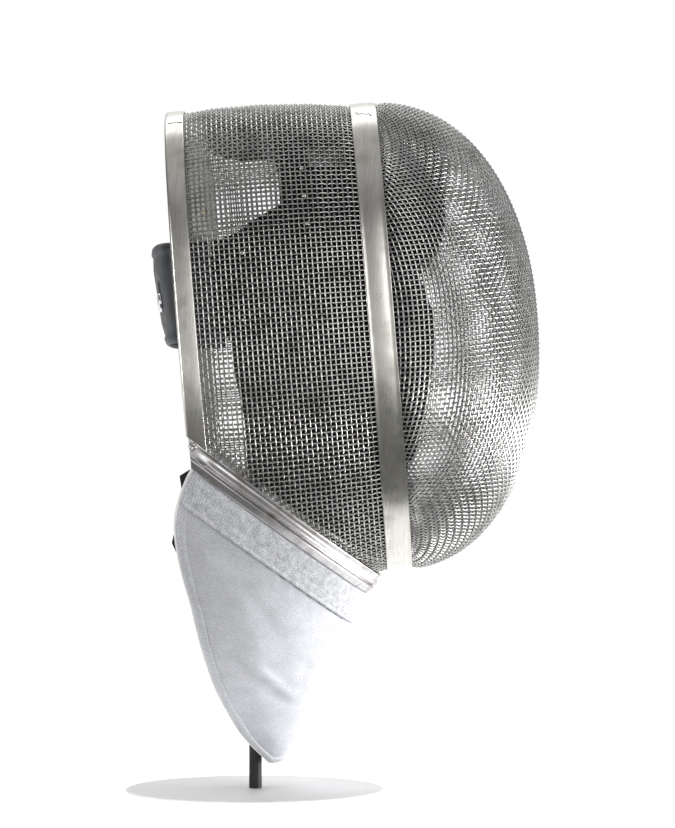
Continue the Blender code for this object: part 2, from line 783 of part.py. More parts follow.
def make_rod(back, underside):
    """Rod that stands upright on the base, then bends forward to the rest."""
    lean = radians(MASK_LEAN)
    rest_up = Vector((0, sin(lean), cos(lean)))
    seat = Vector((0, cos(lean), -sin(lean))) * back + rest_up * (underside - GAP)
    seat += Vector((0, -RING_IN_FRONT_OF_ROD, RING_HEIGHT))
    corner = Vector((0, 0, ROD_CORNER_HEIGHT))
    upright, slant = Vector((0, 0, 1)), (seat - corner).normalized()
    path = [(Vector((0, 0, BASE_THICKNESS + GAP)), upright)]
    for step in range(5):
        t = step / 4
        bend_start, bend_end = corner - upright * ROD_CORNER_ROUND, corner + slant * ROD_CORNER_ROUND
        spot = bend_start.lerp(corner, t).lerp(corner.lerp(bend_end, t), t)
        path.append((spot, upright.lerp(slant, t).normalized()))
    path.append((seat, slant))
    rings = []
    for spot, along in path:
        forward = Vector((1, 0, 0)).cross(along)
        ring = []
        for side in range(ROD_SIDES):
            turn = 2 * pi * side / ROD_SIDES
            ring.append(spot + (Vector((1, 0, 0)) * cos(turn) + forward * sin(turn)) * ROD_RADIUS)
        rings.append(ring)
    rings[-1] = [spot - slant * (spot - seat).dot(rest_up) / slant.dot(rest_up) for spot in rings[-1]]
    joined_rings("stand_rod", rings, black_steel, False, None)


def make_stand():
    """Round base, bent rod and the rest that carries the mask's crown."""
    turned_disc("stand_base", BASE_RADIUS, BASE_THICKNESS, BASE_EDGE, white_board, BASE_SIDES)
    back, middle = rest_place()
    make_rest(back, middle)
    make_rod(back, middle + REST_CROWN_RADIUS - REST_THICKNESS)


clear_scene()
parts = collection("Fencing mask on stand")
guides = collection("Guides", hidden=True)
mask_frame = bpy.data.objects.new("mask_frame", None)
parts.objects.link(mask_frame)
mask_frame.location = (0, -RING_IN_FRONT_OF_ROD * MM, RING_HEIGHT * MM)
mask_frame.rotation_euler = (radians(-MASK_LEAN), 0, 0)

wire_steel = material("Woven steel wire", (0.30, 0.30, 0.29), 0.35, 1.0)
band_steel = material("Brushed stainless steel", (0.55, 0.54, 0.52), 0.28, 1.0)
trim_steel = material("Folded stainless steel", (0.50, 0.49, 0.46), 0.30, 1.0)
strip_metal = material("Extruded aluminium", (0.62, 0.61, 0.60), 0.30, 1.0)
lame_cloth = material("Silver lame cloth", (0.52, 0.53, 0.58), 0.55, 0.2)
white_cloth = material("White cotton cloth", (0.82, 0.82, 0.82), 0.85)
tape_cloth = material("Sewn tape", (0.60, 0.60, 0.62), 0.85)
black_tape = material("Black hook tape", (0.01, 0.01, 0.01), 0.9)
strap_rubber = material("Slate grey moulded rubber", (0.07, 0.08, 0.095), 0.6)
stud_steel = material("Polished steel stud", (0.75, 0.75, 0.75), 0.15, 1.0)
black_steel = material("Black painted steel", (0.012, 0.012, 0.012), 0.45, 0.0)
white_board = material("White lacquered board", (0.8, 0.8, 0.8), 0.4)
patch_cloth = material("Grey cloth patch", (0.16, 0.16, 0.16), 0.9)
lining_cloth = material("Dark lining cloth", (0.012, 0.012, 0.013), 0.9)

make_front_mesh()
make_side_mesh()
make_ring_band()
make_rear_trim()
make_strip()
bib_top = strip_curve(STRIP_WIDTH + GAP, 0.0, 2 * BIB_COLUMNS)
make_bib()
make_tabs()
make_lining()
make_patches()
make_strap()
make_stand()
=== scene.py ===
"""Looks of the fencing mask on its plain stand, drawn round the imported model, in its frame."""

from math import asin, cos, pi, radians, sin

import bmesh
import bpy
import numpy as np
from mathutils import Matrix, Vector


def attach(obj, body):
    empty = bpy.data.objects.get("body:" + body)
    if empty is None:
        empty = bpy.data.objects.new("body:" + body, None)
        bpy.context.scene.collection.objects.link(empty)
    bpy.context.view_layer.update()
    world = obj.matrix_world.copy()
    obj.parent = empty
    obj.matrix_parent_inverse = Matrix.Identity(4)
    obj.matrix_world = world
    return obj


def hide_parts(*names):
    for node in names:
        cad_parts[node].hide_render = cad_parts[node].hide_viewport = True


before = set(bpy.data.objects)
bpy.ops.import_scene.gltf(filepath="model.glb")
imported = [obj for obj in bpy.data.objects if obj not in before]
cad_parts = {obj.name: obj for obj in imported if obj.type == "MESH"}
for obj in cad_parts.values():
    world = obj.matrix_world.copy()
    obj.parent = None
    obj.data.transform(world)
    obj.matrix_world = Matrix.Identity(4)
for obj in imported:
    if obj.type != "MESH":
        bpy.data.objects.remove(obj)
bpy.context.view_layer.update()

MM = 0.001

# Place of the mask over the stand, in millimetres and degrees
MASK_LEAN = 4.6
LEAN = radians(MASK_LEAN)
RING_HEIGHT = 281.6
RING_IN_FRONT_OF_ROD = 76.75

# Outline of the mask, seen from the front, at the outside of the wire
HALF_HEIGHT = 143.6
HALF_WIDTH = 103.0
SQUARENESS = 2.4
CHIN_TAPER = 0.055

# Woven wire
WIRE = 1.0
PITCH = 3.0
WIRE_DRAWN = 1.18  # thicker than the wire is, because the photo's wires look that thick
CRIMP = 0.62  # how far a wire swings out and in between its crossings
WIRE_SIDES = 6
DOME_DEPTH = 97.0
DOME_FULLNESS = 2.3
DOME_ROUNDNESS = 2.1
NOSE_HEIGHT = 7.0
SIDE_DEPTH = 117.6
FLARE = 4.2
FLARE_ROWS = ((0.0, 0.0), (0.13, 0.0), (0.28, 0.55), (0.52, 1.0), (0.78, 1.0), (0.9, 0.6), (1.0, 0.6))

# Ring band and the wire that is drawn in under it
BAND_WIDTH = 15.3
BAND_TUCK = 1.4
BAND_EDGE, BAND_LIP, BAND_BOW = 1.1, 0.45, 0.42  # width and height of a rolled edge, bow between
WELD_TURN, FOLD_TURN = 0.414, 0.412  # from the top, in radians
SEAM_RADIUS = 0.28
TUCK_RAMP = 5.5
GAP = 0.3

# Strip that clamps the bib
STRIP_REAR_HEIGHT = -51.1
STRIP_CHIN_SETBACK = 12.0
STRIP_CHIN_DROP = 1.1
STRIP_PAST_MESH = 1.5
STRIP_WIDTH = 13.5
STRIP_SHARES = (
    0, 0.012, 0.035, 0.06, 0.1, 0.22, 0.27, 0.33, 0.39, 0.43, 0.46, 0.49, 0.52,
    0.56, 0.59, 0.62, 0.66, 0.69, 0.715, 0.74, 0.8, 0.87, 0.94, 0.985, 1.0,
)
FIRST_RIB = (0, 0.3, 0.36, 0.2, 0.04, 0.04, 0.2, 0.5, 0.82, 0.97, 1.0, 0.84, 0.52, 0.16) + (0,) * 11
SECOND_RIB = (0,) * 15 + (0.45, 0.8, 0.95, 0.97, 0.9, 0.7, 0.48, 0.25, 0.12, 0.0)
STRIP_PLATE = 1.2
STRIP_RIB = 1.9
STRIP_GAP = 0.8
MESH_UNDER_STRIP = 4.0
BIB_UNDER_STRIP = 6.0

# Bib
BIB_COVER = 1.2
BIB_LINING = 2.0
PLY_GAP = 0.6
BIB_DROP = 203.4
BIB_SWEEP = 29.5
BIB_TIP_DEPTH = 6.2
HEM_BORDER = 2.4
HEM_DOWN = (0.0, 0.03, 0.07, 0.12, 0.18, 0.26, 0.34, 0.43, 0.53, 0.63, 0.72, 0.80, 0.885, 1.0)
HEM_SWEEP = (0.0, -0.12, -0.24, -0.36, -0.44, -0.43, -0.37, -0.265, -0.18, -0.07, 0.07, 0.26, 0.51, 1.0)
HEM_WIDTH = (1.0, 0.995, 0.988, 0.979, 0.965, 0.945, 0.92, 0.873, 0.81, 0.727, 0.64, 0.535, 0.40, 0.09)
TAPE_WIDTH = 20.0
TAPE_THICKNESS = 0.8
TAPE_SEAMS = ((12.0, 0.9), (17.4, 0.0))  # distance from the tape's upper edge, and swing of the zigzag
HEM_SEAM = 8.2
HEM_FOLD = 7.6
CORD_RADIUS = 0.45
# Stitches of each seam: length, gap and width
TAPE_STITCH = (2.3, 0.9, 0.55)
HEM_STITCH = (2.2, 0.9, 0.4)
WEBBING_STITCH = (1.5, 1.5, 0.75)
TAB_THICKNESS = 1.4
BIB_HALF_ROUND = 130
COVER_LENGTH, LINING_LENGTH, TAPE_LENGTH = 242, 245, 20.6  # flat lengths

# Creases: share of the half width, share of the drop, lean, half length, half width and height of each
BIB_CREASES = (
    (0.64, 0.585, -20, 20, 5, 1.5),
    (0.58, 0.655, -12, 22, 7, -0.9),
    (0.46, 0.66, 48, 60, 20, 2.2),
    (0.78, 0.40, -75, 30, 8, 0.8),
    (0.72, 0.30, -60, 26, 7, -0.6),
    (0.30, 0.40, 70, 40, 9, 0.8),
)
DEEPEST_CREASE = 0.4

TAB_ROWS = {
    # place: drop of the upper end, drop of the lower end, width behind the bib, width past the hem
    "upper": (1.0, 12.0, 10.0, 3.6),
    "lower": (42.5, 53.5, 9.0, 2.0),
}

# Lining: shares of the half height, of the dome depth in front and of the side depth behind
LINING_GAP = 0.9
LINING_THICKNESS = 7.0
MESH_THICKNESS = 2 * WIRE
LINING_HEIGHTS = (
    -1.0, -0.98, -0.92, -0.80, -0.70, -0.62, -0.555, -0.50, -0.43, -0.30, -0.14, 0.03, 0.06, 0.166,
    0.25, 0.347, 0.44, 0.455, 0.50, 0.57, 0.69, 0.775, 0.855, 0.875, 0.90, 1.0,
)
LINING_FRONTS = (
    0.07, 0.07, 0.07, 0.07, 0.07, 0.07, 0.078, 0.118, 0.16, 0.235, 0.297, 0.32, 0.32, 0.28,
    0.228, 0.39, 0.435, 0.44, 0.455, 0.465, 0.47, 0.47, 0.47, 0.47, 0.47, 0.47,
)
LINING_REARS = (
    0.05, 0.095, 0.20, 0.365, 0.506, 0.62, 0.70, 0.735, 0.72, 0.722, 0.747, 0.76, 0.82, 0.82,
    0.82, 0.82, 0.82, 0.70, 0.63, 0.46, 0.45, 0.47, 0.49, 0.73, 0.82, 0.82,
)

# Lining: radius of its edges, and steps round it, with a stitched channel every few of them
LINING_EDGE = 3.5
LINING_STEPS = 360
CHANNEL_STEPS = 9
BINDING_RADIUS = 2.6

# Patches, webbing ends, rivets and ties seen through the wire: shares of the half height, and depths
# behind the band; flat sizes are width and length
PATCH_HEIGHTS = (0.46, 0.88)
PATCH_DEPTH = 11.0
PATCH_THICKNESS = 1.2
PATCH_FLAT = (12.5, 73)
WEBBING_HEIGHTS = (0.715, 0.79)
WEBBING_DEPTHS = (-36.0, -14.0)
WEBBING_THICKNESS = 0.5
WEBBING_FLAT = (22.5, 11)
CLOTH_PER_RADIAN = 130
RIVET_SPOTS = ((0.632, 100.0), (0.552, 99.0))
TIE_SPOTS = ((0.70, 39.6), (0.585, 39.2), (0.47, 38.8), (0.37, 78.0), (0.10, 80.0))

# Rear trim
TRIM_WIDTH = 9.3
TRIM_LEAF = 1.0
TRIM_BEAD = 1.9
BAND_THICKNESS = 1.2

# Strap behind the head
STRAP_HEIGHT = 60.0
STRAP_THICKNESS = 5.0
STRAP_MIDDLE_SHARE = 0.2368
STRAP_LEAN = 4.5
STRAP_BULGE = 14.0
STRAP_ROOT = 20.0
STRAP_ROOT_SHARE = 0.2
STRAP_BACK_POWER = 0.8
STRAP_SIDE_POWER = 0.9
STRAP_EDGE = 2.4
STRAP_RIDGE = (4.2, 1.2)  # distance from the edge, and half width
STRAP_GROOVE = (6.8, 1.0)
SLIT_DEPTH = 2.6
SLIT_HALF_WIDTH = 3.4
SLIT_ENDS = (2, 14)  # heights above the stud
NOTCH_DEPTH = 1.5
NOTCH_BELOW = 12
STUD_ACROSS = 0.42
STUD_DROP = 4.6
RIVET_FROM_END = 2.8
RIVET_FROM_EDGE = 2.6

# Turned buttons: radius and height of each ring, from the middle to the underside
STUD_SECTION = (
    (0.0, 2.0), (2.2, 1.9), (3.7, 1.6), (4.1, 1.5), (4.5, 1.6), (5.1, 1.5), (5.6, 0.9), (5.6, 0.0),
)
RIVET_SECTION = ((0.0, 0.75), (0.75, 0.8), (0.95, 1.35), (1.5, 1.5), (2.1, 1.25), (2.5, 0.7), (2.6, 0.0))

# The photo's camera: its distance, where it stands along Y and up, the size of a pixel at the middle of
# the mask, the photo's height in pixels and the sensor's in millimetres
CAMERA_AWAY = 2.2
CAMERA_AIM = (-0.050348, 0.234625)
PIXEL = 0.000614
PHOTO_ROWS = 828
SENSOR = 36

# Scale of a wave texture whose bands lie one metre apart, and sizes in metres of the stains on metal and
# the broad tones of plastic
WAVE_SCALE = 0.31416
STAIN_SIZE = 0.014
TONE_SIZE = 0.018


def placed(points):
    """Points of the mask's own frame, in millimetres, as points of the model in metres."""
    x, y, z = np.asarray(points, float).T
    turned = np.stack([x, y * cos(LEAN) + z * sin(LEAN), z * cos(LEAN) - y * sin(LEAN)], 1)
    return (turned + (0, -RING_IN_FRONT_OF_ROD, RING_HEIGHT)) * MM


def outline(turn):
    """Across and up of the mask's outline at angles round it, with the outward normals."""

    def on_outline(angle):
        c, s = np.cos(angle), np.sin(angle)
        across = np.abs(c) ** (2 / SQUARENESS) * np.sign(c) * (1 + CHIN_TAPER * s)
        return np.stack([HALF_WIDTH * across, HALF_HEIGHT * np.abs(s) ** (2 / SQUARENESS) * np.sign(s)], -1)

    step = 1e-3
    along = on_outline(turn + step) - on_outline(turn - step)
    normal = np.stack([along[..., 1], -along[..., 0]], -1)
    return on_outline(turn), normal / np.linalg.norm(normal, axis=-1, keepdims=True)


def turn_at(share):
    """Angle round the outline at a share of its half height."""
    return asin(share ** (SQUARENESS / 2))


def run_along(points):
    """Distance along a line of points, at each of them."""
    return np.concatenate([[0], np.cumsum(np.linalg.norm(np.diff(points, axis=0), axis=1))])


def outline_run(start=-pi / 2, stop=1.5 * pi, samples=20001):
    """Angles close together along the outline, and the distance along it at each."""
    fine = np.linspace(start, stop, samples)
    return fine, run_along(outline(fine)[0])


def flare(forward):
    """How far the side mesh stands out past the outline."""
    shares, sizes = zip(*FLARE_ROWS)
    return FLARE * np.interp(np.maximum(-forward, 0) / SIDE_DEPTH, shares, sizes)


def tuck(forward):
    """How far the wire is drawn in under the ring band."""
    past_band = np.abs(forward) - BAND_WIDTH / 2 - GAP
    return BAND_TUCK * np.clip(1 - past_band / TUCK_RAMP, 0, 1)


def strip_plane():
    """A point of the strip's upper edge at the chin, and its directions to the rear and down."""
    chin = np.array([0, STRIP_CHIN_SETBACK, -HALF_HEIGHT - STRIP_CHIN_DROP])
    rear = np.array([0, SIDE_DEPTH + STRIP_PAST_MESH, STRIP_REAR_HEIGHT])
    uphill = (rear - chin) / np.linalg.norm(rear - chin)
    return chin, uphill, np.array([0, uphill[2], -uphill[1]])


def cut_forward(up, below):
    """Forward distance of the strip's plane at a height, moved down the strip."""
    chin, uphill, down = strip_plane()
    start = chin + down * below
    return -(start[1] + (up - start[2]) * uphill[1] / uphill[2])


def unit(vectors):
    """The same vectors, one long."""
    return vectors / np.linalg.norm(vectors, axis=-1, keepdims=True)


def bell(value, middle, width):
    """A smooth hump, one high."""
    return np.exp(-(((value - middle) / width) ** 2))


def ramp(value, start, length):
    """Zero below the start and one above the end of a straight rise."""
    return np.clip((value - start) / length, 0, 1)


def dome(turn, forward):
    """Points on the outside of the domed front."""
    share = (1 - (forward / DOME_DEPTH) ** DOME_FULLNESS) ** (1 / DOME_ROUNDNESS)
    flat, normal = outline(turn)
    flat = (flat - normal * np.asarray(tuck(forward))[..., None]) * share[..., None]
    return np.stack([flat[..., 0], -forward, flat[..., 1] + NOSE_HEIGHT * (1 - share)], -1)


def wall(turn, forward, inset):
    """Points on the outside of the wire, or that far inside it."""
    turn, forward, inset = np.broadcast_arrays(*(np.asarray(x, float) for x in (turn, forward, inset)))
    flat, normal = outline(turn)
    flat = flat + normal * (flare(forward) - tuck(forward) - inset)[..., None]
    side = np.stack([flat[..., 0], -forward, flat[..., 1]], -1)
    front = np.clip(forward, 0.02, DOME_DEPTH - 0.5)
    step = 0.01
    around = dome(turn + step, front) - dome(turn - step, front)
    deeper = dome(turn, front + step) - dome(turn, front - step)
    domed = dome(turn, front) - unit(np.cross(around, deeper)) * inset[..., None]
    return np.where((forward <= 0)[..., None], side, domed)


def strip_curve(below, grow, steps):
    """Points round the chin on the strip's wall, from its left rear end to its right."""
    chin, uphill, down = strip_plane()
    rear_back = SIDE_DEPTH + STRIP_PAST_MESH - down[1] * below
    rear_up = chin[2] + (rear_back - chin[1]) * uphill[2] / uphill[1]
    low, high = -pi / 2, -turn_at(abs(rear_up) / HALF_HEIGHT)
    side = np.linspace(-1, 1, steps + 1)
    turn = low + (high - low) * np.abs(side)
    base, normal = outline(turn)
    forward = np.zeros(steps + 1)
    for _ in range(8):
        flat = base + normal * (flare(forward) - tuck(forward))[:, None]
        forward = cut_forward(flat[:, 1], 0.0)
    across = np.abs(flat[:, 0]) * np.where(side < 0, -1, 1)
    on_mesh = np.stack([across, -forward, flat[:, 1]], 1) + down * below
    along = np.empty_like(on_mesh)
    along[1:-1] = on_mesh[2:] - on_mesh[:-2]
    along[0], along[-1] = on_mesh[1] - on_mesh[0], on_mesh[-1] - on_mesh[-2]
    return on_mesh + unit(np.cross(down, along)) * grow


BIB_TOP = strip_curve(STRIP_WIDTH + GAP, 0.0, 400)


def smooth_curve(keys, values, at):
    """Values read on a smooth curve through a table."""
    keys, values = np.array(keys), np.array(values)
    slopes = np.gradient(values, keys)
    slopes[1:-1] = (values[2:] - values[:-2]) / (keys[2:] - keys[:-2])
    spot = np.clip(np.searchsorted(keys, at, "right") - 1, 0, len(keys) - 2)
    step = keys[spot + 1] - keys[spot]
    t = (at - keys[spot]) / step
    return (
        (2 * t**3 - 3 * t**2 + 1) * values[spot] + (t**3 - 2 * t**2 + t) * slopes[spot] * step
        + (3 * t**2 - 2 * t**3) * values[spot + 1] + (t**3 - t**2) * slopes[spot + 1] * step
    )


def bib_point(round_share, down_share):
    """Points on the outside of the bib, from its left hem round the chin and down to its tip."""
    round_share, down_share = np.broadcast_arrays(round_share, down_share)
    lower = np.maximum(down_share, 0.0)
    spot = np.minimum(np.abs(2 * round_share - 1), 1.0)
    half = len(BIB_TOP) // 2
    on_top = np.stack([np.interp(spot * half, np.arange(half + 1), BIB_TOP[half:, k]) for k in range(3)], -1)
    middle, corner = BIB_TOP[half], BIB_TOP[-1]
    tip_up = STRIP_REAR_HEIGHT - BIB_DROP
    hem_back = corner[1] - BIB_SWEEP * smooth_curve(HEM_DOWN, HEM_SWEEP, lower)
    hem_up = corner[2] + (tip_up - corner[2]) * lower
    front_back = middle[1] + (corner[1] - BIB_SWEEP - BIB_TIP_DEPTH - middle[1]) * lower
    front_up = middle[2] + (tip_up - middle[2]) * lower
    rise = (on_top[..., 2] - middle[2]) / (corner[2] - middle[2])
    side = np.where(round_share >= 0.5, 1, -1)
    across = side * np.abs(on_top[..., 0]) * smooth_curve(HEM_DOWN, HEM_WIDTH, lower)
    point = np.stack([
        across, front_back + (hem_back - front_back) * rise, front_up + (hem_up - front_up) * rise,
    ], -1)
    under = np.minimum(down_share, 0.0)[..., None] * BIB_DROP
    return point + strip_plane()[2] * under


def bib_wall(round_share, down_share, inset):
    """Points that far inside the bib's outer surface."""
    round_share, down_share, inset = np.broadcast_arrays(
        *(np.asarray(x, float) for x in (round_share, down_share, inset)))
    step = 0.01
    across = bib_point(np.minimum(round_share + step, 1), down_share) - bib_point(
        np.maximum(round_share - step, 0), down_share)
    down = bib_point(round_share, np.minimum(down_share + step, 1)) - bib_point(
        round_share, down_share - step)
    return bib_point(round_share, down_share) + unit(np.cross(across, down)) * inset[..., None]


def wires(name, lines, radius=WIRE_DRAWN / 2, sides=WIRE_SIDES):
    """Round wires along lines of (points, outward normals, closed), as one mesh with capped ends."""
    corners, faces = [], []
    start = 0
    for points, normals, closed in lines:
        count = len(points)
        if closed:
            tangent = unit(np.roll(points, -1, 0) - np.roll(points, 1, 0))
        else:
            tangent = unit(np.gradient(points, axis=0))
        beside = unit(np.cross(tangent, normals))
        above = np.cross(beside, tangent)
        angles = (np.arange(sides) * 2 * pi / sides)[None, :, None]
        ring = above[:, None] * np.cos(angles) + beside[:, None] * np.sin(angles)
        corners.append((points[:, None] + ring * radius).reshape(-1, 3))
        index = start + np.arange(count * sides).reshape(count, sides)
        low = index if closed else index[:-1]
        high = np.roll(index, -1, 0) if closed else index[1:]
        quads = np.stack([low, high, np.roll(high, -1, 1), np.roll(low, -1, 1)], -1)
        faces += quads.reshape(-1, 4).tolist()
        if not closed:
            faces += [index[0].tolist(), index[-1][::-1].tolist()]
        start += count * sides
    mesh = bpy.data.meshes.new(name)
    mesh.from_pydata(placed(np.concatenate(corners)).tolist(), [], faces)
    mesh.shade_smooth()
    return new_piece(name, mesh)


def new_piece(name, mesh):
    """A named object that rides on the part's one body."""
    piece = bpy.data.objects.new(name, mesh)
    bpy.context.scene.collection.objects.link(piece)
    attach(piece, "root")
    return piece


def surface(name, rows, ends="open", flat=None, angle=40):
    """A mesh through rows of as many points each; flat holds its cloth coordinates in millimetres.

    The ends say what becomes of the first and last row: a sheet is open. In a solid the points of a row
    go round in a loop, and the end rows are capped or joined to each other.
    """
    joined = ends != "open"
    rows = np.asarray(rows, float)
    count, width = rows.shape[:2]
    index = np.arange(count * width).reshape(count, width)
    low, high = (index, np.roll(index, -1, 0)) if ends == "joined" else (index[:-1], index[1:])
    if joined:
        low_next, high_next = np.roll(low, -1, 1), np.roll(high, -1, 1)
    else:
        low, low_next, high, high_next = low[:, :-1], low[:, 1:], high[:, :-1], high[:, 1:]
    faces = np.stack([low, low_next, high_next, high], -1).reshape(-1, 4).tolist()
    if ends == "capped":
        faces += [np.roll(index[0], -1)[::-1].tolist(), index[-1].tolist()]
    mesh = bpy.data.meshes.new(name)
    mesh.from_pydata(placed(rows.reshape(-1, 3)).tolist(), [], faces)
    if flat is not None:
        layer = mesh.uv_layers.new(name="Cloth")
        flat = np.asarray(flat, float).reshape(-1, 2) * MM
        spots = np.empty(len(mesh.loops), int)
        mesh.loops.foreach_get("vertex_index", spots)
        layer.data.foreach_set("uv", flat[spots].astype(np.float32).ravel())
    if joined:
        bm = bmesh.new()
        bm.from_mesh(mesh)
        bmesh.ops.recalc_face_normals(bm, faces=bm.faces)
        bm.to_mesh(mesh)
        bm.free()
    mesh.shade_smooth()
    mesh.set_sharp_from_angle(angle=radians(angle))
    return new_piece(name, mesh)


def thicken(piece, thickness):
    """Give an open sheet its thickness on the inner side."""
    wall_maker = piece.modifiers.new("Thickness", "SOLIDIFY")
    wall_maker.thickness = thickness * MM
    wall_maker.offset = -1
    wall_maker.use_even_offset = True
    return piece


def cloth(piece, thickness, flat, held, rests_on, with_pieces=()):
    """Give an open sheet its thickness; its flat size in millimetres is not used."""
    return thicken(piece, thickness)


def stand_in(piece, node):
    """Let a piece stand for a solid, with the solid's finish."""
    piece.data.materials.append(FINISHES[node])
    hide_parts(node)


def extra(piece, finish):
    """Give a piece that stands for no solid its finish."""
    piece.data.materials.append(finish)


def stitches(name, lines, length, gap, width, slot_name):
    """Short raised stitches along lines of (points, outward normals)."""
    short = []
    for points, normals in lines:
        run = run_along(points)
        for start in np.arange(gap, run[-1] - length, length + gap):
            at = start + np.array([0, 0.2, 0.8, 1.0]) * length
            spot = np.stack([np.interp(at, run, points[:, k]) for k in range(3)], 1)
            out = unit(np.stack([np.interp(at, run, normals[:, k]) for k in range(3)], 1))
            lift = np.array([-0.15, 0.6, 0.6, -0.15]) * width
            short.append((spot + out * lift[:, None], out, False))
    piece = wires(name, short, width / 2, 5)
    extra(piece, thread)
    return piece


def crimped(points, normals, signs):
    """Points of a wire moved out and in, where it passes over and under the wires that cross it."""
    return points + normals * (signs * CRIMP)[:, None]


def side_weave():
    """Hoops and straight wires of the sides and crown."""
    fine, run = outline_run(samples=40001)
    count = 2 * round(run[-1] / PITCH / 2)
    turn = np.interp(np.arange(count) * run[-1] / count, run, fine)
    flat, normal = outline(turn)
    normals = np.stack([normal[:, 0], np.zeros(count), normal[:, 1]], 1)
    depths = np.arange(PITCH / 2, SIDE_DEPTH - 0.5, PITCH)

    def spot(k, depth):
        spread = flare(-depth) - tuck(-depth) - WIRE
        return np.array([flat[k, 0] + normal[k, 0] * spread, depth, flat[k, 1] + normal[k, 1] * spread])

    last = SIDE_DEPTH - GAP
    at_strip = np.minimum(last, -cut_forward(flat[:, 1], MESH_UNDER_STRIP))
    ends = np.maximum(np.where(flat[:, 1] < 0, at_strip, last), BAND_WIDTH / 2 - 1)
    hoops = []
    for m, depth in enumerate(depths):
        inside = ends >= depth
        if inside.all():
            order, closed = np.arange(count), True
        else:
            middle = count // 2
            low = next(k for k in range(middle, -1, -1) if not inside[k]) + 1
            order, closed = np.arange(low, count - low + 1), False
        points = np.array([spot(k, depth) for k in order])
        signs = np.where((order + m) % 2, 1.0, -1.0)
        hoops.append((crimped(points, normals[order], signs), normals[order], closed))
    straight = []
    for k in range(count):
        stops = [0.4] + [d for d in depths if d < ends[k] - 0.6] + [ends[k]]
        signs = np.array([0] + [-1.0 if (k + m) % 2 else 1.0 for m in range(len(stops) - 2)] + [0])
        points = np.array([spot(k, depth) for depth in stops])
        faced = np.repeat(normals[k][None], len(stops), 0)
        straight.append((crimped(points, faced, signs), faced, False))
    return hoops, straight


def dome_level(p):
    """Below zero inside the dome, zero on it."""
    x, forward, up = p
    share = 1.0
    for _ in range(4):
        tall = (up - NOSE_HEIGHT * (1 - share)) / HALF_HEIGHT
        lean = min(abs(tall) / max(share, 1e-6), 1.0) ** (SQUARENESS / 2) * (1 if tall > 0 else -1)
        wide = x / (HALF_WIDTH * (1 + CHIN_TAPER * lean))
        share = (abs(wide) ** SQUARENESS + abs(tall) ** SQUARENESS) ** (1 / SQUARENESS)
    return (max(forward, 0.0) / DOME_DEPTH) ** DOME_FULLNESS + share**DOME_ROUNDNESS - 1


def dome_slope(p):
    """Gradient of the dome's level, which points outwards."""
    step = 1e-3
    level = []
    for axis in range(3):
        high, low = list(p), list(p)
        high[axis] += step
        low[axis] -= step
        level.append((dome_level(high) - dome_level(low)) / (2 * step))
    return Vector(level)


def onto_dome(guess, near):
    """The point of the dome at the pitch from each point in near, close to a guess."""
    p = Vector(guess)
    for _ in range(12):
        slope = dome_slope(p)
        steep = slope.length
        rows = [slope / steep]
        miss = [dome_level(p) / steep]
        for other in near:
            away = p - other
            rows.append(away.normalized())
            miss.append(away.length - PITCH)
        solver = Matrix(rows)
        if abs(solver.determinant()) < 0.12:
            return None
        move = solver.inverted() @ Vector(miss)
        p -= move
        if move.length < 1e-4:
            break
    return p


def dome_weave():
    """The domed front's wires: two families that keep their pitch and shear over each other."""
    reach = 70
    centre = Vector((0, DOME_DEPTH, NOSE_HEIGHT))
    nodes = {(0, 0): centre}
    fine = np.linspace(DOME_DEPTH, 0, 30001)[1:]
    share = (1 - (fine / DOME_DEPTH) ** DOME_FULLNESS) ** (1 / DOME_ROUNDNESS)
    for i, j, across, up in ((1, 0, HALF_WIDTH, 0.0), (0, 1, 0.0, HALF_HEIGHT), (0, -1, 0.0, -HALF_HEIGHT)):
        path = np.stack([across * share, fine, up * share + NOSE_HEIGHT * (1 - share)], 1)
        path = np.concatenate([[list(centre)], path])
        length = run_along(path)
        for n in range(1, reach):
            run = n * PITCH
            if run <= length[-1]:
                spot = Vector([float(np.interp(run, length, path[:, axis])) for axis in range(3)])
            else:
                spot = Vector((across, length[-1] - run, up))
            nodes[i * n, j * n] = spot
            if spot.y < -2 * PITCH:
                break
    for way in (1, -1):
        for i in range(1, reach):
            for n in range(1, reach):
                near = (i - 1, way * n), (i, way * (n - 1)), (i - 1, way * (n - 1))
                a, b, c = (nodes.get(key) for key in near)
                if a is None or b is None or c is None or min(a.y, b.y) < -2 * PITCH:
                    continue
                found = onto_dome(a + b - c, (a, b))
                if found is not None and (found - c).length > 0.5 * PITCH:
                    nodes[i, way * n] = found
    points, normals = {}, {}
    for (i, j), spot in nodes.items():
        normal = dome_slope(spot).normalized() if spot.y < DOME_DEPTH - 1e-3 else Vector((0, 1, 0))
        inward = np.array([spot.x, -spot.y, spot.z])
        out = np.array([normal.x, -normal.y, normal.z])
        flat = unit(np.array([normal.x, 0, normal.z]) + 1e-9)
        inward = inward - out * WIRE - flat * float(tuck(spot.y))
        points[i, j], normals[i, j] = inward, out
        if i:
            points[-i, j] = inward * (-1, 1, 1)
            normals[-i, j] = out * (-1, 1, 1)

    def family(keys, sign):
        run, lines = [], []
        for key in keys + [None]:
            inside = key in points and -points[key][1] > 1.0
            if inside:
                run.append(key)
                continue
            if len(run) > 2:
                spots = np.array([points[k] for k in run])
                faced = np.array([normals[k] for k in run])
                signs = np.array([sign * (1.0 if (k[0] + k[1]) % 2 else -1.0) for k in run])
                lines.append((crimped(spots, faced, signs), faced, False))
            run = []
        return lines

    across, upright = [], []
    for j in range(-reach, reach + 1):
        across += family([(i, j) for i in range(-reach, reach + 1)], 1.0)
    for i in range(-reach, reach + 1):
        upright += family([(i, j) for j in range(-reach, reach + 1)], -1.0)
    return across, upright


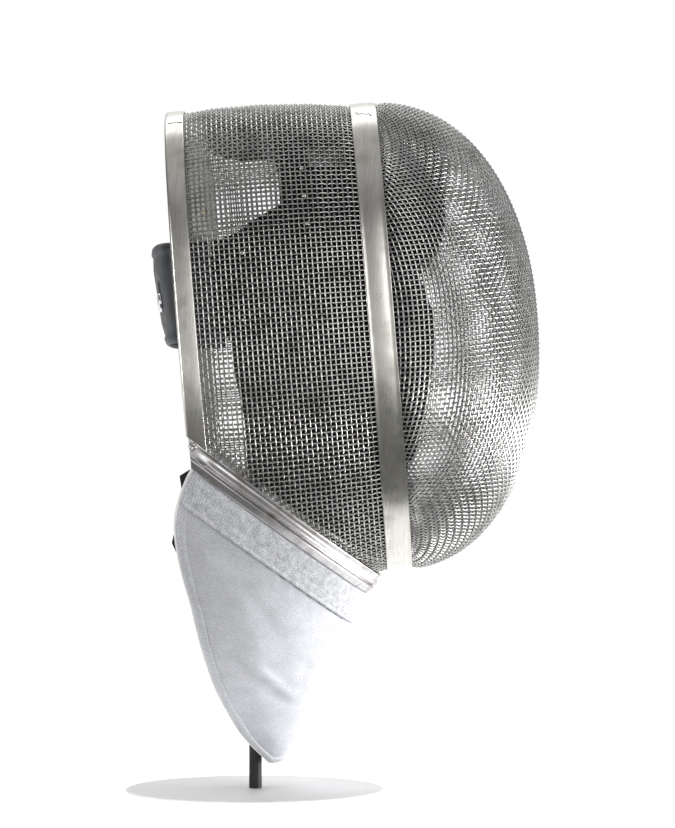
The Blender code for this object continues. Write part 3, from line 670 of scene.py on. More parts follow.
def linear(hex_colour):
    """An sRGB hex colour as linear red, green, blue and alpha."""
    parts = [int(hex_colour[i:i + 2], 16) / 255 for i in (1, 3, 5)]
    return [p / 12.92 if p <= 0.04045 else ((p + 0.055) / 1.055) ** 2.4 for p in parts] + [1.0]


def add_node(material, kind, links=None, stops=(), **settings):
    """Add a node; settings are its properties or inputs, links join its inputs to sockets by name or number,
    and stops are the places and hex colours of a ramp."""
    node = material.node_tree.nodes.new("ShaderNode" + kind)
    for name, value in settings.items():
        if hasattr(node, name):
            setattr(node, name, value)
        else:
            node.inputs[name.replace("_", " ")].default_value = value
    for name, socket in (links or {}).items():
        material.node_tree.links.new(socket, node.inputs[name])
    for spot, (place, colour) in zip(node.color_ramp.elements if stops else (), stops):
        spot.position, spot.color = place, linear(colour)
    return node


def new_material(name, **settings):
    """A material with its Principled shader, whose inputs are set by name."""
    made = bpy.data.materials.new(name)
    made.use_nodes = True
    shader = made.node_tree.nodes["Principled BSDF"]
    for key, value in settings.items():
        shader.inputs[key.replace("_", " ")].default_value = value
    return made, shader


def feed(material, shader, **sockets):
    """Join sockets to the shader's inputs by name."""
    for name, socket in sockets.items():
        material.node_tree.links.new(socket, shader.inputs[name.replace("_", " ")])
    return material


def brushed_metal(name, low_hex, high_hex, roughness, grain, turned=(0, 0, 0), stains=("#8B8880", 0.12),
                  bump=0.25):
    """Sheet metal with fine brushed lines; grain is the period in metres along each turned axis."""
    made, shader = new_material(name, Metallic=1.0)
    where = add_node(made, "TexCoord").outputs["Object"]
    lines_at = add_node(made, "Mapping", {"Vector": where}, vector_type="TEXTURE",
                        Rotation=turned, Scale=grain).outputs["Vector"]
    lines = add_node(made, "TexNoise", {"Vector": lines_at}, Scale=1.0, Detail=4.0,
                     Roughness=0.65).outputs["Fac"]
    cloudy = add_node(made, "TexNoise", {"Vector": where}, Scale=1 / STAIN_SIZE, Detail=2.0,
                      Roughness=0.5).outputs["Fac"]
    colour = add_node(made, "ValToRGB", {"Fac": lines}, ((0.3, low_hex), (0.7, high_hex))).outputs["Color"]
    spots = add_node(made, "MapRange", {"Value": cloudy}, From_Min=0.52, From_Max=0.75, To_Min=0.0,
                     To_Max=stains[1] * 3).outputs["Result"]
    mixed = add_node(made, "Mix", {0: spots, 6: colour}, data_type="RGBA")
    mixed.inputs[7].default_value = linear(stains[0])
    dull = add_node(made, "MapRange", {"Value": cloudy}, From_Min=0.3, From_Max=0.7,
                    To_Min=roughness * 0.85, To_Max=roughness * 1.25).outputs["Result"]
    raised = add_node(made, "Bump", {"Height": lines}, Strength=bump, Distance=0.00012).outputs["Normal"]
    return feed(made, shader, Base_Color=mixed.outputs[2], Roughness=dull, Normal=raised)


def woven_cloth(name, low_hex, high_hex, roughness, threads, uv=True, bump=0.4, sheen=0.0, metallic=0.0,
                mottle=0.05, specks=None, spread=0.3, lattice=0.5):
    """Plain weave; threads, specks and mottle are the sizes in metres of the weave, of specks in the yarn
    and of cloudy marks. Lattice is how strongly the threads show, and spread how far apart the tones lie."""
    made, shader = new_material(name, Roughness=roughness, Metallic=metallic, Sheen_Weight=sheen)
    where = add_node(made, "TexCoord").outputs["UV" if uv else "Object"]
    if not uv:
        where = add_node(made, "Mapping", {"Vector": where}, vector_type="POINT",
                         Rotation=(0, pi / 2, 0)).outputs["Vector"]
    warp, weft = (
        add_node(made, "TexWave", {"Vector": where}, wave_type="BANDS", bands_direction=axis,
                 Scale=WAVE_SCALE / size, Distortion=0.6, Detail=2.0, Detail_Scale=1.0).outputs["Fac"]
        for axis, size in zip("XY", threads))
    over = add_node(made, "Mapping", {"Vector": where}, vector_type="POINT",
                    Scale=(1 / threads[0], 1 / threads[1], 1)).outputs["Vector"]
    check = add_node(made, "TexChecker", {"Vector": over}, Scale=1.0).outputs["Fac"]
    height = add_node(made, "Mix", {0: check, 2: warp, 3: weft}, data_type="FLOAT").outputs[0]
    if specks:
        speck_at = add_node(made, "Mapping", {"Vector": where}, vector_type="POINT",
                            Scale=(1 / specks[0], 1 / specks[1], 1)).outputs["Vector"]
        fluff = add_node(made, "TexNoise", {"Vector": speck_at}, Scale=1.0, Detail=3.0, Roughness=0.7)
    else:
        fluff = add_node(made, "TexNoise", {"Vector": where}, Scale=1 / (1.6 * threads[0]), Detail=4.0,
                         Roughness=0.7)
    cloudy = add_node(made, "TexNoise", {"Vector": where}, Scale=1 / mottle, Detail=3.0).outputs["Fac"]
    part = add_node(made, "Math", {0: height, 2: fluff.outputs["Fac"]}, operation="MULTIPLY_ADD")
    total = add_node(made, "Math", {0: cloudy, 2: part.outputs[0]}, operation="MULTIPLY_ADD")
    part.inputs[1].default_value, total.inputs[1].default_value = lattice, 0.5
    middle = 0.75 + lattice / 2
    tone = add_node(made, "MapRange", {"Value": total.outputs[0]}, From_Min=middle - spread,
                    From_Max=middle + spread).outputs["Result"]
    colour = add_node(made, "ValToRGB", {"Fac": tone}, ((0.0, low_hex), (1.0, high_hex))).outputs["Color"]
    raised = add_node(made, "Bump", {"Height": part.outputs[0]}, Strength=bump, Distance=0.0003)
    return feed(made, shader, Base_Color=colour, Normal=raised.outputs["Normal"])


def grained_plastic(name, low_hex, high_hex, roughness, grain, bump=0.3):
    """Moulded or painted surface with a fine random grain, its size given in metres."""
    made, shader = new_material(name)
    where = add_node(made, "TexCoord").outputs["Object"]
    fine = add_node(made, "TexNoise", {"Vector": where}, Scale=1 / grain, Detail=3.0).outputs["Fac"]
    broad = add_node(made, "TexNoise", {"Vector": where}, Scale=1 / TONE_SIZE, Detail=4.0).outputs["Fac"]
    colour = add_node(made, "ValToRGB", {"Fac": broad}, ((0.3, low_hex), (0.7, high_hex))).outputs["Color"]
    worn = add_node(made, "MapRange", {"Value": broad}, From_Min=0.3, From_Max=0.7,
                    To_Min=roughness * 0.8, To_Max=roughness * 1.2).outputs["Result"]
    raised = add_node(made, "Bump", {"Height": fine}, Strength=bump, Distance=0.0001).outputs["Normal"]
    return feed(made, shader, Base_Color=colour, Roughness=worn, Normal=raised)


# Drawn stainless wire: clean grey metal with short dull patches where the die and the loom rubbed it
wire_steel = brushed_metal("Drawn stainless steel wire", "#9C9B99", "#CFCECC", 0.21, (0.002, 0.002, 0.002),
                           stains=("#6E6C68", 0.2), bump=0.0)
# Wire of the front: the same wire, painted a little darker and duller than the side's, as painted shade on
# the dome
shaded_front_wire_steel = brushed_metal("Drawn stainless steel wire of the dome", "#929190", "#C9C8C6", 0.24,
                                 (0.002, 0.002, 0.002), stains=("#62605D", 0.2), bump=0.0)
# Brushed stainless band: lines 0.5 mm apart run along the band, drawn twice their real width to show
band_steel = brushed_metal("Brushed stainless steel band", "#B9B7B1", "#DAD8D2", 0.28, (0.02, 0.0005, 0.02),
                           (LEAN, 0, 0), ("#9C998F", 0.2), bump=0.15)
# Extruded aluminium strip: soft die lines along it and a dull, slightly rough skin
strip_alloy = brushed_metal("Extruded aluminium strip", "#B1AFAF", "#D2D0D1", 0.33, (0.03, 0.03, 0.0007),
                            (LEAN - radians(37), 0, 0), ("#868079", 0.3))
# Pressed rivet steel: bright, with faint turning marks
rivet_steel = brushed_metal("Pressed rivet steel", "#A7A5A3", "#CFCDCB", 0.22, (0.0008, 0.0008, 0.0008),
                            stains=("#6F6D6B", 0.1), bump=0.1)
# Chromed stud: bright, dulled a little by wear
stud_chrome = brushed_metal("Chromed stud", "#BDBDC1", "#D2D2D6", 0.2, (0.004, 0.004, 0.004),
                            stains=("#BFBFC2", 0.1), bump=0.02)
# Small dull beige rivets of the patches: aged brass
rivet_brass = brushed_metal("Dull brass rivet", "#B9AD8C", "#DDD2B4", 0.3, (0.0008, 0.0008, 0.0008),
                            stains=("#5C5032", 0.2), bump=0.1)
# Lame cloth: cotton with a fine silvery metal thread, drawn 1.0 mm apart, wider than it is, to show
lame = woven_cloth("Silver lame cloth", "#A9AAB0", "#D4D5DA", 0.5, (0.0010, 0.0010), metallic=0.12, bump=0.6,
                   sheen=0.05, mottle=0.012, spread=0.25)
# Bleached cotton twill of the bib's inner side
cotton = woven_cloth("Bleached white cotton", "#EDEDEB", "#FCFCFA", 0.85, (0.0010, 0.0010), sheen=0.2)
# Woven webbing tape of grey and white yarns, with specks about 1 mm long
tape = woven_cloth("Grey and white webbing tape", "#85878C", "#E8E9ED", 0.85, (0.0011, 0.0009), bump=0.7,
                   sheen=0.05, mottle=0.004, specks=(0.0010, 0.0008), spread=0.24, lattice=0.22)
# Twisted polyester: a dark cord on the tape's lower edge, whose dark colour is a painted shadow line between
# tape and cover, and the thread of all seams
shadow_line_cord = grained_plastic("Slate blue cord, painted shadow line under the tape", "#3E4048", "#5C5E68", 0.8, 0.0004)
thread = grained_plastic("Grey polyester sewing thread", "#C4C4C9", "#E4E4E8", 0.6, 0.0004)
# Plain woven polyester: grey patches in the windows, and the dark ends of the lining's webbing
patch_cloth = woven_cloth("Grey woven patch cloth", "#A2A29E", "#CCCCC7", 0.9, (0.0012, 0.0012))
strap_end_cloth = woven_cloth("Dark grey webbing", "#40403F", "#666664", 0.8, (0.0012, 0.0012))
# Soft vinyl that binds the lining, and nylon hook tape, rough with its hooks
binding_vinyl = grained_plastic("Black vinyl binding", "#050505", "#0E0E0E", 0.45, 0.0006)
black_tape = grained_plastic("Black nylon hook tape", "#0A0A0A", "#222222", 0.85, 0.0009, 0.9)
# Moulded slate grey rubber with a soft satin skin
rubber = grained_plastic("Moulded slate grey rubber", "#1F2227", "#2C2F35", 0.55, 0.0005, 0.35)
# Brushed polyester over the lining's foam, almost black
lining_cloth = woven_cloth("Black padded lining cloth", "#050505", "#131313", 0.95, (0.0014, 0.0014),
                           uv=False)
# Stand: satin paint on steel tube, and sprayed lacquer on a turned board
black_paint = grained_plastic("Black satin paint on steel", "#050505", "#0B0B0B", 0.6, 0.0008, 0.15)
white_lacquer = grained_plastic("White lacquered board", "#F6F6F6", "#FAFAFA", 0.5, 0.002, 0.03)

FINISHES = {
    "front_mesh": shaded_front_wire_steel, "side_mesh": wire_steel, "ring_band": band_steel, "rear_trim": band_steel,
    "lining": lining_cloth, "bib_strip": strip_alloy, "bib_rivet_left": rivet_steel,
    "bib_rivet_right": rivet_steel, "bib_cover": lame, "bib_lining": cotton, "bib_tape": tape,
    "window_patch_left": patch_cloth, "window_patch_right": patch_cloth,
    "tab_upper_left": black_tape, "tab_upper_right": black_tape, "tab_lower_left": black_tape,
    "tab_lower_right": black_tape, "back_strap": rubber, "strap_stud": stud_chrome,
    "stand_base": white_lacquer, "stand_rod": black_paint, "stand_rest": black_paint,
}
for node_name, finish in FINISHES.items():
    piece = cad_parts[node_name]
    piece.data.materials.clear()
    piece.data.materials.append(finish)


def make_weave():
    """Woven wire of the sides and of the domed front."""
    hoops, straight = side_weave()
    across, upright = dome_weave()
    for name, lines, node in (
        ("side_hoop_wires", hoops, "side_mesh"),
        ("side_straight_wires", straight, "side_mesh"),
        ("front_cross_wires", across, "front_mesh"),
        ("front_upright_wires", upright, "front_mesh"),
    ):
        stand_in(wires(name, lines), node)


def make_lining():
    """Padded lining with rounded edges and stitched channels, and the binding round its face edge."""
    steps, edge_radius, half = LINING_STEPS, LINING_EDGE, LINING_THICKNESS / 2
    fine, run = outline_run()
    turn = np.interp(np.arange(steps) * run[-1] / steps, run, fine)
    up = outline(turn)[0][:, 1] / HALF_HEIGHT
    front = DOME_DEPTH * np.interp(up, LINING_HEIGHTS, LINING_FRONTS)
    rear = -SIDE_DEPTH * np.interp(up, LINING_HEIGHTS, LINING_REARS)
    ease = np.array([0, 0.12, 0.45, 1.0, 1.8, 2.8, edge_radius])
    middle = np.linspace(0, 1, 20)[1:-1]
    channels = 0.35 + 0.65 * np.abs(np.sin(pi * np.arange(steps) / CHANNEL_STEPS)) ** 0.6
    rows = []
    for k in range(steps):
        span = front[k] - rear[k]
        depth = np.concatenate([ease, edge_radius + middle * (span - 2 * edge_radius), span - ease[::-1]])
        edge = np.minimum(np.minimum(depth, span - depth), edge_radius)
        thick = np.sqrt(np.maximum(half**2 - (half - edge) ** 2, 0))
        forward = rear[k] + depth
        core = MESH_THICKNESS + LINING_GAP + BAND_TUCK - tuck(forward) + half
        puff = 1.2 * (channels[k] - 0.7) * np.clip(edge - 1, 0, 1)
        outer = wall(turn[k], forward, core - thick)
        inner = wall(turn[k], forward, core + thick + puff)[::-1]
        rows.append(np.concatenate([outer[1:], inner[1:]]))
    lining = surface("lining_pad", rows, ends="joined", angle=70)
    stand_in(lining, "lining")
    core = MESH_THICKNESS + LINING_GAP + BAND_TUCK - tuck(front) + half
    points = wall(turn, front - 0.6, core)
    normals = unit(points - wall(turn, front - 0.6, core + 1))
    binding = wires("lining_binding", [(points, normals, True)], BINDING_RADIUS, 8)
    extra(binding, binding_vinyl)


def window_sheet(name, side, turn, forward, inset):
    """A sheet inside the wire of the side that is -1 on the left and 1 on the right."""
    turn, forward = turn[:, None], forward[None, :]
    points = wall(turn, forward, inset) * (side, 1, 1)
    along = (turn - turn_at(PATCH_HEIGHTS[0])) * CLOTH_PER_RADIAN
    flat = np.stack(np.broadcast_arrays(forward, along), -1)
    return surface(name, points[::side], flat=flat[::side])


def make_patches():
    """Grey cloth patches in the rear openings, with their rivets, and the ties of the lining."""
    sewn = []
    for side, side_name in ((-1, "left"), (1, "right")):
        turn = np.linspace(*map(turn_at, PATCH_HEIGHTS), 30)
        forward = -SIDE_DEPTH + TRIM_WIDTH + PATCH_DEPTH * np.linspace(0, 1, 10)
        inset = MESH_THICKNESS + GAP + 0.2
        patch = window_sheet(f"window_patch_cloth_{side_name}", side, turn, forward, inset)
        cloth(patch, PATCH_THICKNESS, PATCH_FLAT, "stretched", ["side_hoop_wires"])
        stand_in(patch, f"window_patch_{side_name}")
        turn = np.linspace(*map(turn_at, WEBBING_HEIGHTS), 8)
        forward = np.linspace(*WEBBING_DEPTHS, 18)
        slant = 0.5 * (forward + 30) / 40
        inset = MESH_THICKNESS + 0.05 + slant
        end = window_sheet(f"lining_strap_end_{side_name}", side, turn, forward, inset)
        cloth(end, WEBBING_THICKNESS, WEBBING_FLAT, "stretched", ["lining_pad"])
        extra(end, strap_end_cloth)
        points = wall(turn[0], forward, MESH_THICKNESS - 0.1 + slant)
        sewn.append((points * (side, 1, 1), unit(points - wall(turn[0], forward, 12)) * (side, 1, 1)))
    stitches("strap_end_stitches", sewn, *WEBBING_STITCH, "patch_cloth")
    for name, finish, slot_name, spots, size, inset in (
        ("patch_rivets", rivet_brass, "band_steel", RIVET_SPOTS, 1.7, 1.6),
        ("lining_ties", rivet_steel, "wire_steel", TIE_SPOTS, 1.45, 0.6),
    ):
        lines = []
        for turn, back, side in ((turn_at(share), back, side) for share, back in spots for side in (-1, 1)):
            seat = wall(turn, -back, inset) * (side, 1, 1)
            out = unit((wall(turn, -back, 0) - wall(turn, -back, 1)) * (side, 1, 1))
            ahead = unit(np.cross(out, (0, 0, 1)))
            around = np.cross(out, ahead)
            angles = (np.arange(10) * 2 * pi / 10)[:, None]
            loop = seat + size * 0.5 * (ahead * np.cos(angles) + around * np.sin(angles))
            stem = seat + out * np.linspace(-0.8, size * 0.55, 3)[:, None]
            lines += [(loop, np.tile(out, (10, 1)), True), (stem, np.tile(ahead, (3, 1)), False)]
        extra(wires(name, lines, size * 0.5, 8), finish)


def make_bands():
    """Ring band with rolled edges, its weld mark and the fold mark at the top of the rear trim."""
    steps = 240
    half = BAND_WIDTH / 2
    low, reach = BAND_THICKNESS - BAND_LIP, half - BAND_EDGE
    side = np.linspace(-half + BAND_EDGE, reach, 9)
    roll = [(0.15, 0), (0.6, -0.03), (0.88, 0.12), (0.95, 0.35), (0.9, 0.7)]
    roll = [(out, -half + inward) for out, inward in roll]
    face = [(low + BAND_BOW * (1 - (x / reach) ** 2), x) for x in side]
    profile = roll + face + [(r, -x) for r, x in reversed(roll)] + [(0, half - 0.4), (0, -half + 0.4)]
    out, back = np.array(profile).T
    fine, run = outline_run()
    flat, normal = outline(np.interp(np.arange(steps) / steps * run[-1], run, fine))
    flat = flat + normal * (GAP - BAND_TUCK)
    across, up = (flat[:, k, None] + normal[:, k, None] * out for k in (0, 1))
    rows = np.stack([across, np.broadcast_to(back, across.shape), up], -1)
    stand_in(surface("ring_band_rolled", rows, ends="joined"), "ring_band")

    weld = np.linspace(-4.6, 4.9, 26)
    fold = np.linspace(SIDE_DEPTH - TRIM_WIDTH + 0.6, SIDE_DEPTH - 0.2, 12)
    weld_turn = pi / 2 - WELD_TURN + 0.012 * np.sin(weld * 1.7) + 0.004 * weld
    lines = []
    for back, turn, out in (
        (weld, weld_turn, np.full(len(weld), GAP - BAND_TUCK + low + BAND_BOW + 0.02)),
        (fold, np.full(len(fold), pi / 2 - FOLD_TURN), flare(-fold) + GAP + 1.32),
    ):
        flat, normal = outline(turn)
        flat = flat + normal * out[:, None]
        line = np.stack([-np.abs(flat[:, 0]), back, flat[:, 1]], 1)
        faced = np.stack([-np.abs(normal[:, 0]), np.zeros(len(turn)), normal[:, 1]], 1)
        lines += [(line * (side, 1, 1), faced * (side, 1, 1), False) for side in (1, -1)]
    extra(wires("band_weld_seam", lines, SEAM_RADIUS, 6), band_steel)


def make_trim():
    """Rear trim: a folded channel with a rounded bead on the edge of the mesh, open at the bottom."""
    steps, face = 260, TRIM_WIDTH
    shares = np.linspace(0.1, 1, 8)
    section = [(GAP, face), (GAP + 0.75, face), (GAP + 1.0, face - 0.25), (GAP + 1.05, face - 0.7)]
    section += [(GAP + 1.05 + 0.2 * sin(pi * t), face - 0.7 - (face - 0.6) * t) for t in shares]
    section += [(1.33, -0.5), (1.2, -1.0), (0.9, -1.6), (0.4, -2.0), (-0.5, -2.2), (-1.6, -2.1), (-2.5, -1.6)]
    section += [(-3.0, -0.8), (-3.15, 0.4), (-3.2, 1.4), (-3.2, face), (-2.3, face)]
    section += [(-2.3, 0.3), (-1.0, -0.6), (GAP, 0.3)]
    chin, uphill, _ = strip_plane()
    rows = []
    for out, ahead in section:
        end_up = chin[2] + (SIDE_DEPTH - ahead - chin[1]) * uphill[2] / uphill[1] + 0.8
        low = -turn_at(abs(end_up) / HALF_HEIGHT)
        fine, run = outline_run(low, pi - low, 4001)
        flat, normal = outline(np.interp(np.linspace(0, run[-1], steps), run, fine))
        line = flat + normal * (flare(-SIDE_DEPTH + max(ahead, 0)) + out)
        rows.append(np.stack([line[:, 0], np.full(steps, SIDE_DEPTH - ahead), line[:, 1]], 1))
    trim = surface("rear_trim_folded", np.stack(rows, 1), ends="capped", angle=50)
    stand_in(trim, "rear_trim")


def strap_point(along, across):
    """Points on the outer face of the strap, from its left root round behind the head."""
    along, across = np.broadcast_arrays(np.asarray(along, float), np.asarray(across, float))
    height = HALF_HEIGHT * STRAP_MIDDLE_SHARE + STRAP_HEIGHT * (across - 0.5)
    turn = np.arcsin(np.clip(height / HALF_HEIGHT, 0, 1) ** (SQUARENESS / 2))
    inset = MESH_THICKNESS + GAP + TRIM_LEAF + GAP
    root = wall(turn, -SIDE_DEPTH, inset)[..., 0]
    side = np.where(along < 0.5, -1, 1)
    spot = np.abs(2 * along - 1)
    forward = STRAP_ROOT * (spot - 1 + STRAP_ROOT_SHARE) / STRAP_ROOT_SHARE - SIDE_DEPTH
    turn_back = np.clip(1 - spot / (1 - STRAP_ROOT_SHARE), 0, 1) * pi / 2
    lean = STRAP_HEIGHT * (across - 0.5) * sin(radians(STRAP_LEAN)) * np.sin(turn_back)
    bulge = (STRAP_BULGE + TRIM_BEAD) * np.sin(turn_back) ** STRAP_BACK_POWER
    back = np.where(spot > 1 - STRAP_ROOT_SHARE, -forward, SIDE_DEPTH + bulge + lean)
    return np.stack([side * root * np.cos(turn_back) ** STRAP_SIDE_POWER, back, height], -1)


def make_strap():
    """Moulded strap with thick rounded edges, a slit at the left for the stud, and a ribbed lower edge."""
    along = np.linspace(1, 0, 121)[:, None]
    edge = np.array([0, 0.006, 0.02, 0.045, 0.075, 0.11])
    across = np.concatenate([edge, np.linspace(0.11, 0.89, 27)[1:-1], 1 - edge[::-1]])[None, :]
    outside = strap_point(along, across)
    step = 0.004
    run = strap_point(along + step, across) - strap_point(along - step, across)
    rise = strap_point(along, np.minimum(across + step, 1)) - strap_point(along, np.maximum(across - step, 0))
    normal = unit(np.cross(rise, run))
    rim = np.minimum(across, 1 - across) * STRAP_HEIGHT
    round_edge = np.sqrt(np.clip(1 - np.clip(1 - rim / STRAP_EDGE, 0, 1) ** 2, 0, 1))
    ridge = 0.5 * bell(rim, *STRAP_RIDGE) - 0.35 * bell(rim, *STRAP_GROOVE)
    pad = 0.7 * ramp(rim, 8, 6)
    slot_along, slot_across = 0.5 - STUD_ACROSS / 2, 0.5 - STUD_DROP / STRAP_HEIGHT
    sideways = np.linalg.norm(outside - strap_point(slot_along, across), axis=-1)
    upwards = (across - slot_across) * STRAP_HEIGHT
    slit_start, slit_end = SLIT_ENDS
    slit = np.exp(-((sideways / SLIT_HALF_WIDTH) ** 4)) * ramp(upwards, slit_start, 2)
    slit = slit * ramp(-upwards, -slit_end, 2)
    notch = np.exp(-((sideways / 7) ** 2) - ((upwards + NOTCH_BELOW) / 2.2) ** 2)
    half = STRAP_THICKNESS / 2
    depth = half * (1 - round_edge) + 0.8 - ridge - pad + SLIT_DEPTH * slit + NOTCH_DEPTH * notch
    outer = outside - normal * depth[..., None]
    inner = outside - normal * (half + half * round_edge)[..., None]
    rows = np.concatenate([outer, inner[:, ::-1]], 1)
    strap = surface("back_strap_moulded", rows, ends="capped", angle=60)
    stand_in(strap, "back_strap")

    out = unit(np.cross(
        strap_point(slot_along, slot_across + step) - strap_point(slot_along, slot_across - step),
        strap_point(slot_along + step, slot_across) - strap_point(slot_along - step, slot_across),
    ))
    seat = strap_point(slot_along, slot_across) + out * 0.1
    out = -out if out[1] < 0 else out
    turned_button("strap_stud_domed", "strap_stud", seat, out, STUD_SECTION)


def turned_button(name, node, seat, out, section):
    """A round button turned from a section of (radius, height), its underside at the seat."""
    bpy.ops.object.select_all(action="DESELECT")
    bpy.ops.mesh.primitive_circle_add(vertices=48, radius=section[-1][0] * MM, fill_type="NGON")
    piece = bpy.context.object
    piece.name = name
    bpy.ops.object.mode_set(mode="EDIT")
    bpy.ops.mesh.select_all(action="SELECT")
    radius, height = section[-1]
    for next_radius, next_height in section[-2::-1]:
        rise = (0, 0, (next_height - height) * MM)
        bpy.ops.mesh.extrude_region_move(TRANSFORM_OT_translate={"value": rise})
        share = max(next_radius, 0.05) / radius
        bpy.ops.transform.resize(value=(share, share, 1), center_override=(0, 0, next_height * MM))
        radius, height = max(next_radius, 0.05), next_height
    bpy.ops.mesh.select_all(action="SELECT")
    bpy.ops.mesh.normals_make_consistent(inside=False)
    bpy.ops.object.mode_set(mode="OBJECT")
    bpy.ops.object.shade_smooth_by_angle(angle=radians(50))
    base, tip = placed(np.array([seat, seat + out]))
    facing = Vector(tip - base).normalized().to_track_quat("Z", "Y")
    piece.data.transform(Matrix.Translation(base) @ facing.to_matrix().to_4x4())
    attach(piece, "root")
    stand_in(piece, node)


def make_rivets():
    """Pan head rivets with a recess at the rear ends of the strip."""
    face = strip_curve(RIVET_FROM_EDGE, STRIP_GAP + STRIP_PLATE + 0.1, 400)
    base = strip_curve(RIVET_FROM_EDGE, 0.0, 400)
    for side, end, nearer in (("left", 0, 1), ("right", -1, -2)):
        inward = unit(face[nearer] - face[end])
        out = unit(face[end] - base[end])
        seat = face[end] + inward * RIVET_FROM_END
        turned_button(f"bib_rivet_{side}_pan", f"bib_rivet_{side}", seat, out, RIVET_SECTION)


def make_strip():
    """Strip with two ribs pressed in it, the first of which fades out towards the rivets."""
    steps = 160
    along = run_along(strip_curve(0, 0, steps))
    fade = ramp(np.minimum(along, along[-1] - along), 6, 12)
    fade = fade * fade * (3 - 2 * fade)
    runs = []
    for share, one, two in zip(STRIP_SHARES, FIRST_RIB, SECOND_RIB):
        height = STRIP_PLATE + STRIP_RIB * np.maximum(one * fade, two)
        base = strip_curve(STRIP_WIDTH * share, 0.0, steps)
        out = strip_curve(STRIP_WIDTH * share, 1.0, steps) - base
        runs.append(base + out * (STRIP_GAP + height)[:, None])
    runs += [strip_curve(STRIP_WIDTH * share, STRIP_GAP, steps) for share in (1.0, 0.0)]
    strip = surface("bib_strip_ribbed", np.stack(runs, 1), ends="capped", angle=50)
    stand_in(strip, "bib_strip")


def hem_distance(round_share, down_share):
    """Distance in millimetres of points of the bib from its hem."""
    edge = bib_point(np.where(round_share < 0.5, 0.0, 1.0), down_share)
    return np.linalg.norm(bib_point(round_share, down_share) - edge, axis=-1)


def bib_relief(round_share, down_share):
    """Height in millimetres of the cover's hem, seam puckers and soft creases."""
    to_hem = np.minimum(hem_distance(round_share, down_share), (1 - down_share) * BIB_DROP)
    hem = 0.6 / (1 + np.exp((to_hem - HEM_FOLD) / 0.3)) - 0.45 * bell(to_hem, HEM_FOLD + 0.5, 0.7)
    hem = hem - 1.1 * np.clip(1 - (to_hem - HEM_BORDER) / 1.6, 0, 1) ** 2
    free = ramp(down_share, 0.13, 0.15) * ramp(to_hem, 9, 14)
    side = np.abs(2 * round_share - 1)
    creases = np.zeros_like(down_share)
    for along, down, lean, length, width, height in BIB_CREASES:
        u, v = (side - along) * BIB_HALF_ROUND, (down_share - down) * BIB_DROP
        c, t = cos(radians(lean)), sin(radians(lean))
        creases += height * np.exp(-(((u * c + v * t) / length) ** 2) - ((v * c - u * t) / width) ** 2)
    puckers = 0.25 * np.sin(side * 95) * bell(down_share, 0.13, 0.05) * np.clip(to_hem / 12, 0, 1)
    ripple = 0.35 * np.sin(side * 9 + down_share * 7) * np.sin(down_share * 15 - side * 4)
    relief = free * np.maximum(creases + ripple, -DEEPEST_CREASE)
    return hem + relief + puckers * ramp(down_share, 0.12, 0.02)


def sewn_line(round_share, down_share, inset):
    """A line on the bib for stitches or cord, with its outward normals."""
    points = bib_wall(round_share, down_share, inset)
    return points, unit(points - bib_wall(round_share, down_share, 1.0))


def make_tape(width_share, half_width):
    """Tape along the top of the bib, with its seams and the dark cord on its lower edge, a painted shadow
    line.
    """
    down = np.linspace(0, 1, 26)[:, None]
    rounds = 0.5 + (np.linspace(0, 1, 241)[None, :] - 0.5) * width_share
    drop = np.linalg.norm(bib_point(rounds, 0.1) - bib_point(rounds, 0.0), axis=-1) / 0.1
    down_share = (PLY_GAP + TAPE_WIDTH * down) / drop
    rounds = np.broadcast_to(rounds, down_share.shape)
    across = TAPE_WIDTH * down
    (upper_seam, _), (lower_seam, _) = TAPE_SEAMS
    ridge = 0.5 * bell(across, TAPE_WIDTH - 0.9, 0.7) - 0.35 * bell(across, lower_seam, 0.5)
    ridge = ridge - 0.2 * bell(across, upper_seam, 0.5)
    points = bib_wall(rounds, down_share, -TAPE_THICKNESS - PLY_GAP - ridge)
    flat = np.stack(np.broadcast_arrays((rounds - 0.5) * 2 * half_width, across), -1)
    band = surface("bib_tape_sewn", points, flat=flat)
    stand_in(band, "bib_tape")

    line_round = np.linspace(0.02, 0.98, 500)
    line_drop = np.interp(line_round, rounds[0], drop[0])
    rows = []
    for offset, swing in TAPE_SEAMS:
        places = (PLY_GAP + offset + swing * np.sin(np.arange(500) * 1.35)) / line_drop
        rows.append(sewn_line(line_round, places, -TAPE_THICKNESS - PLY_GAP - 0.05))
    # Dark cord under the tape's lower edge: a painted shadow line between tape and cover
    edge_line = sewn_line(line_round, (PLY_GAP + TAPE_WIDTH + 0.35) / line_drop, -PLY_GAP - 0.25)
    extra(wires("tape_edge_shadow_cord", [(*edge_line, False)], CORD_RADIUS, 6), shadow_line_cord)
    sewn = stitches("tape_stitches", rows, *TAPE_STITCH, "tape_cloth")
    flat_size = (2 * half_width[0], TAPE_LENGTH)
    cloth(band, TAPE_THICKNESS, flat_size, "stretched", ["bib_cover_lame"], [sewn])


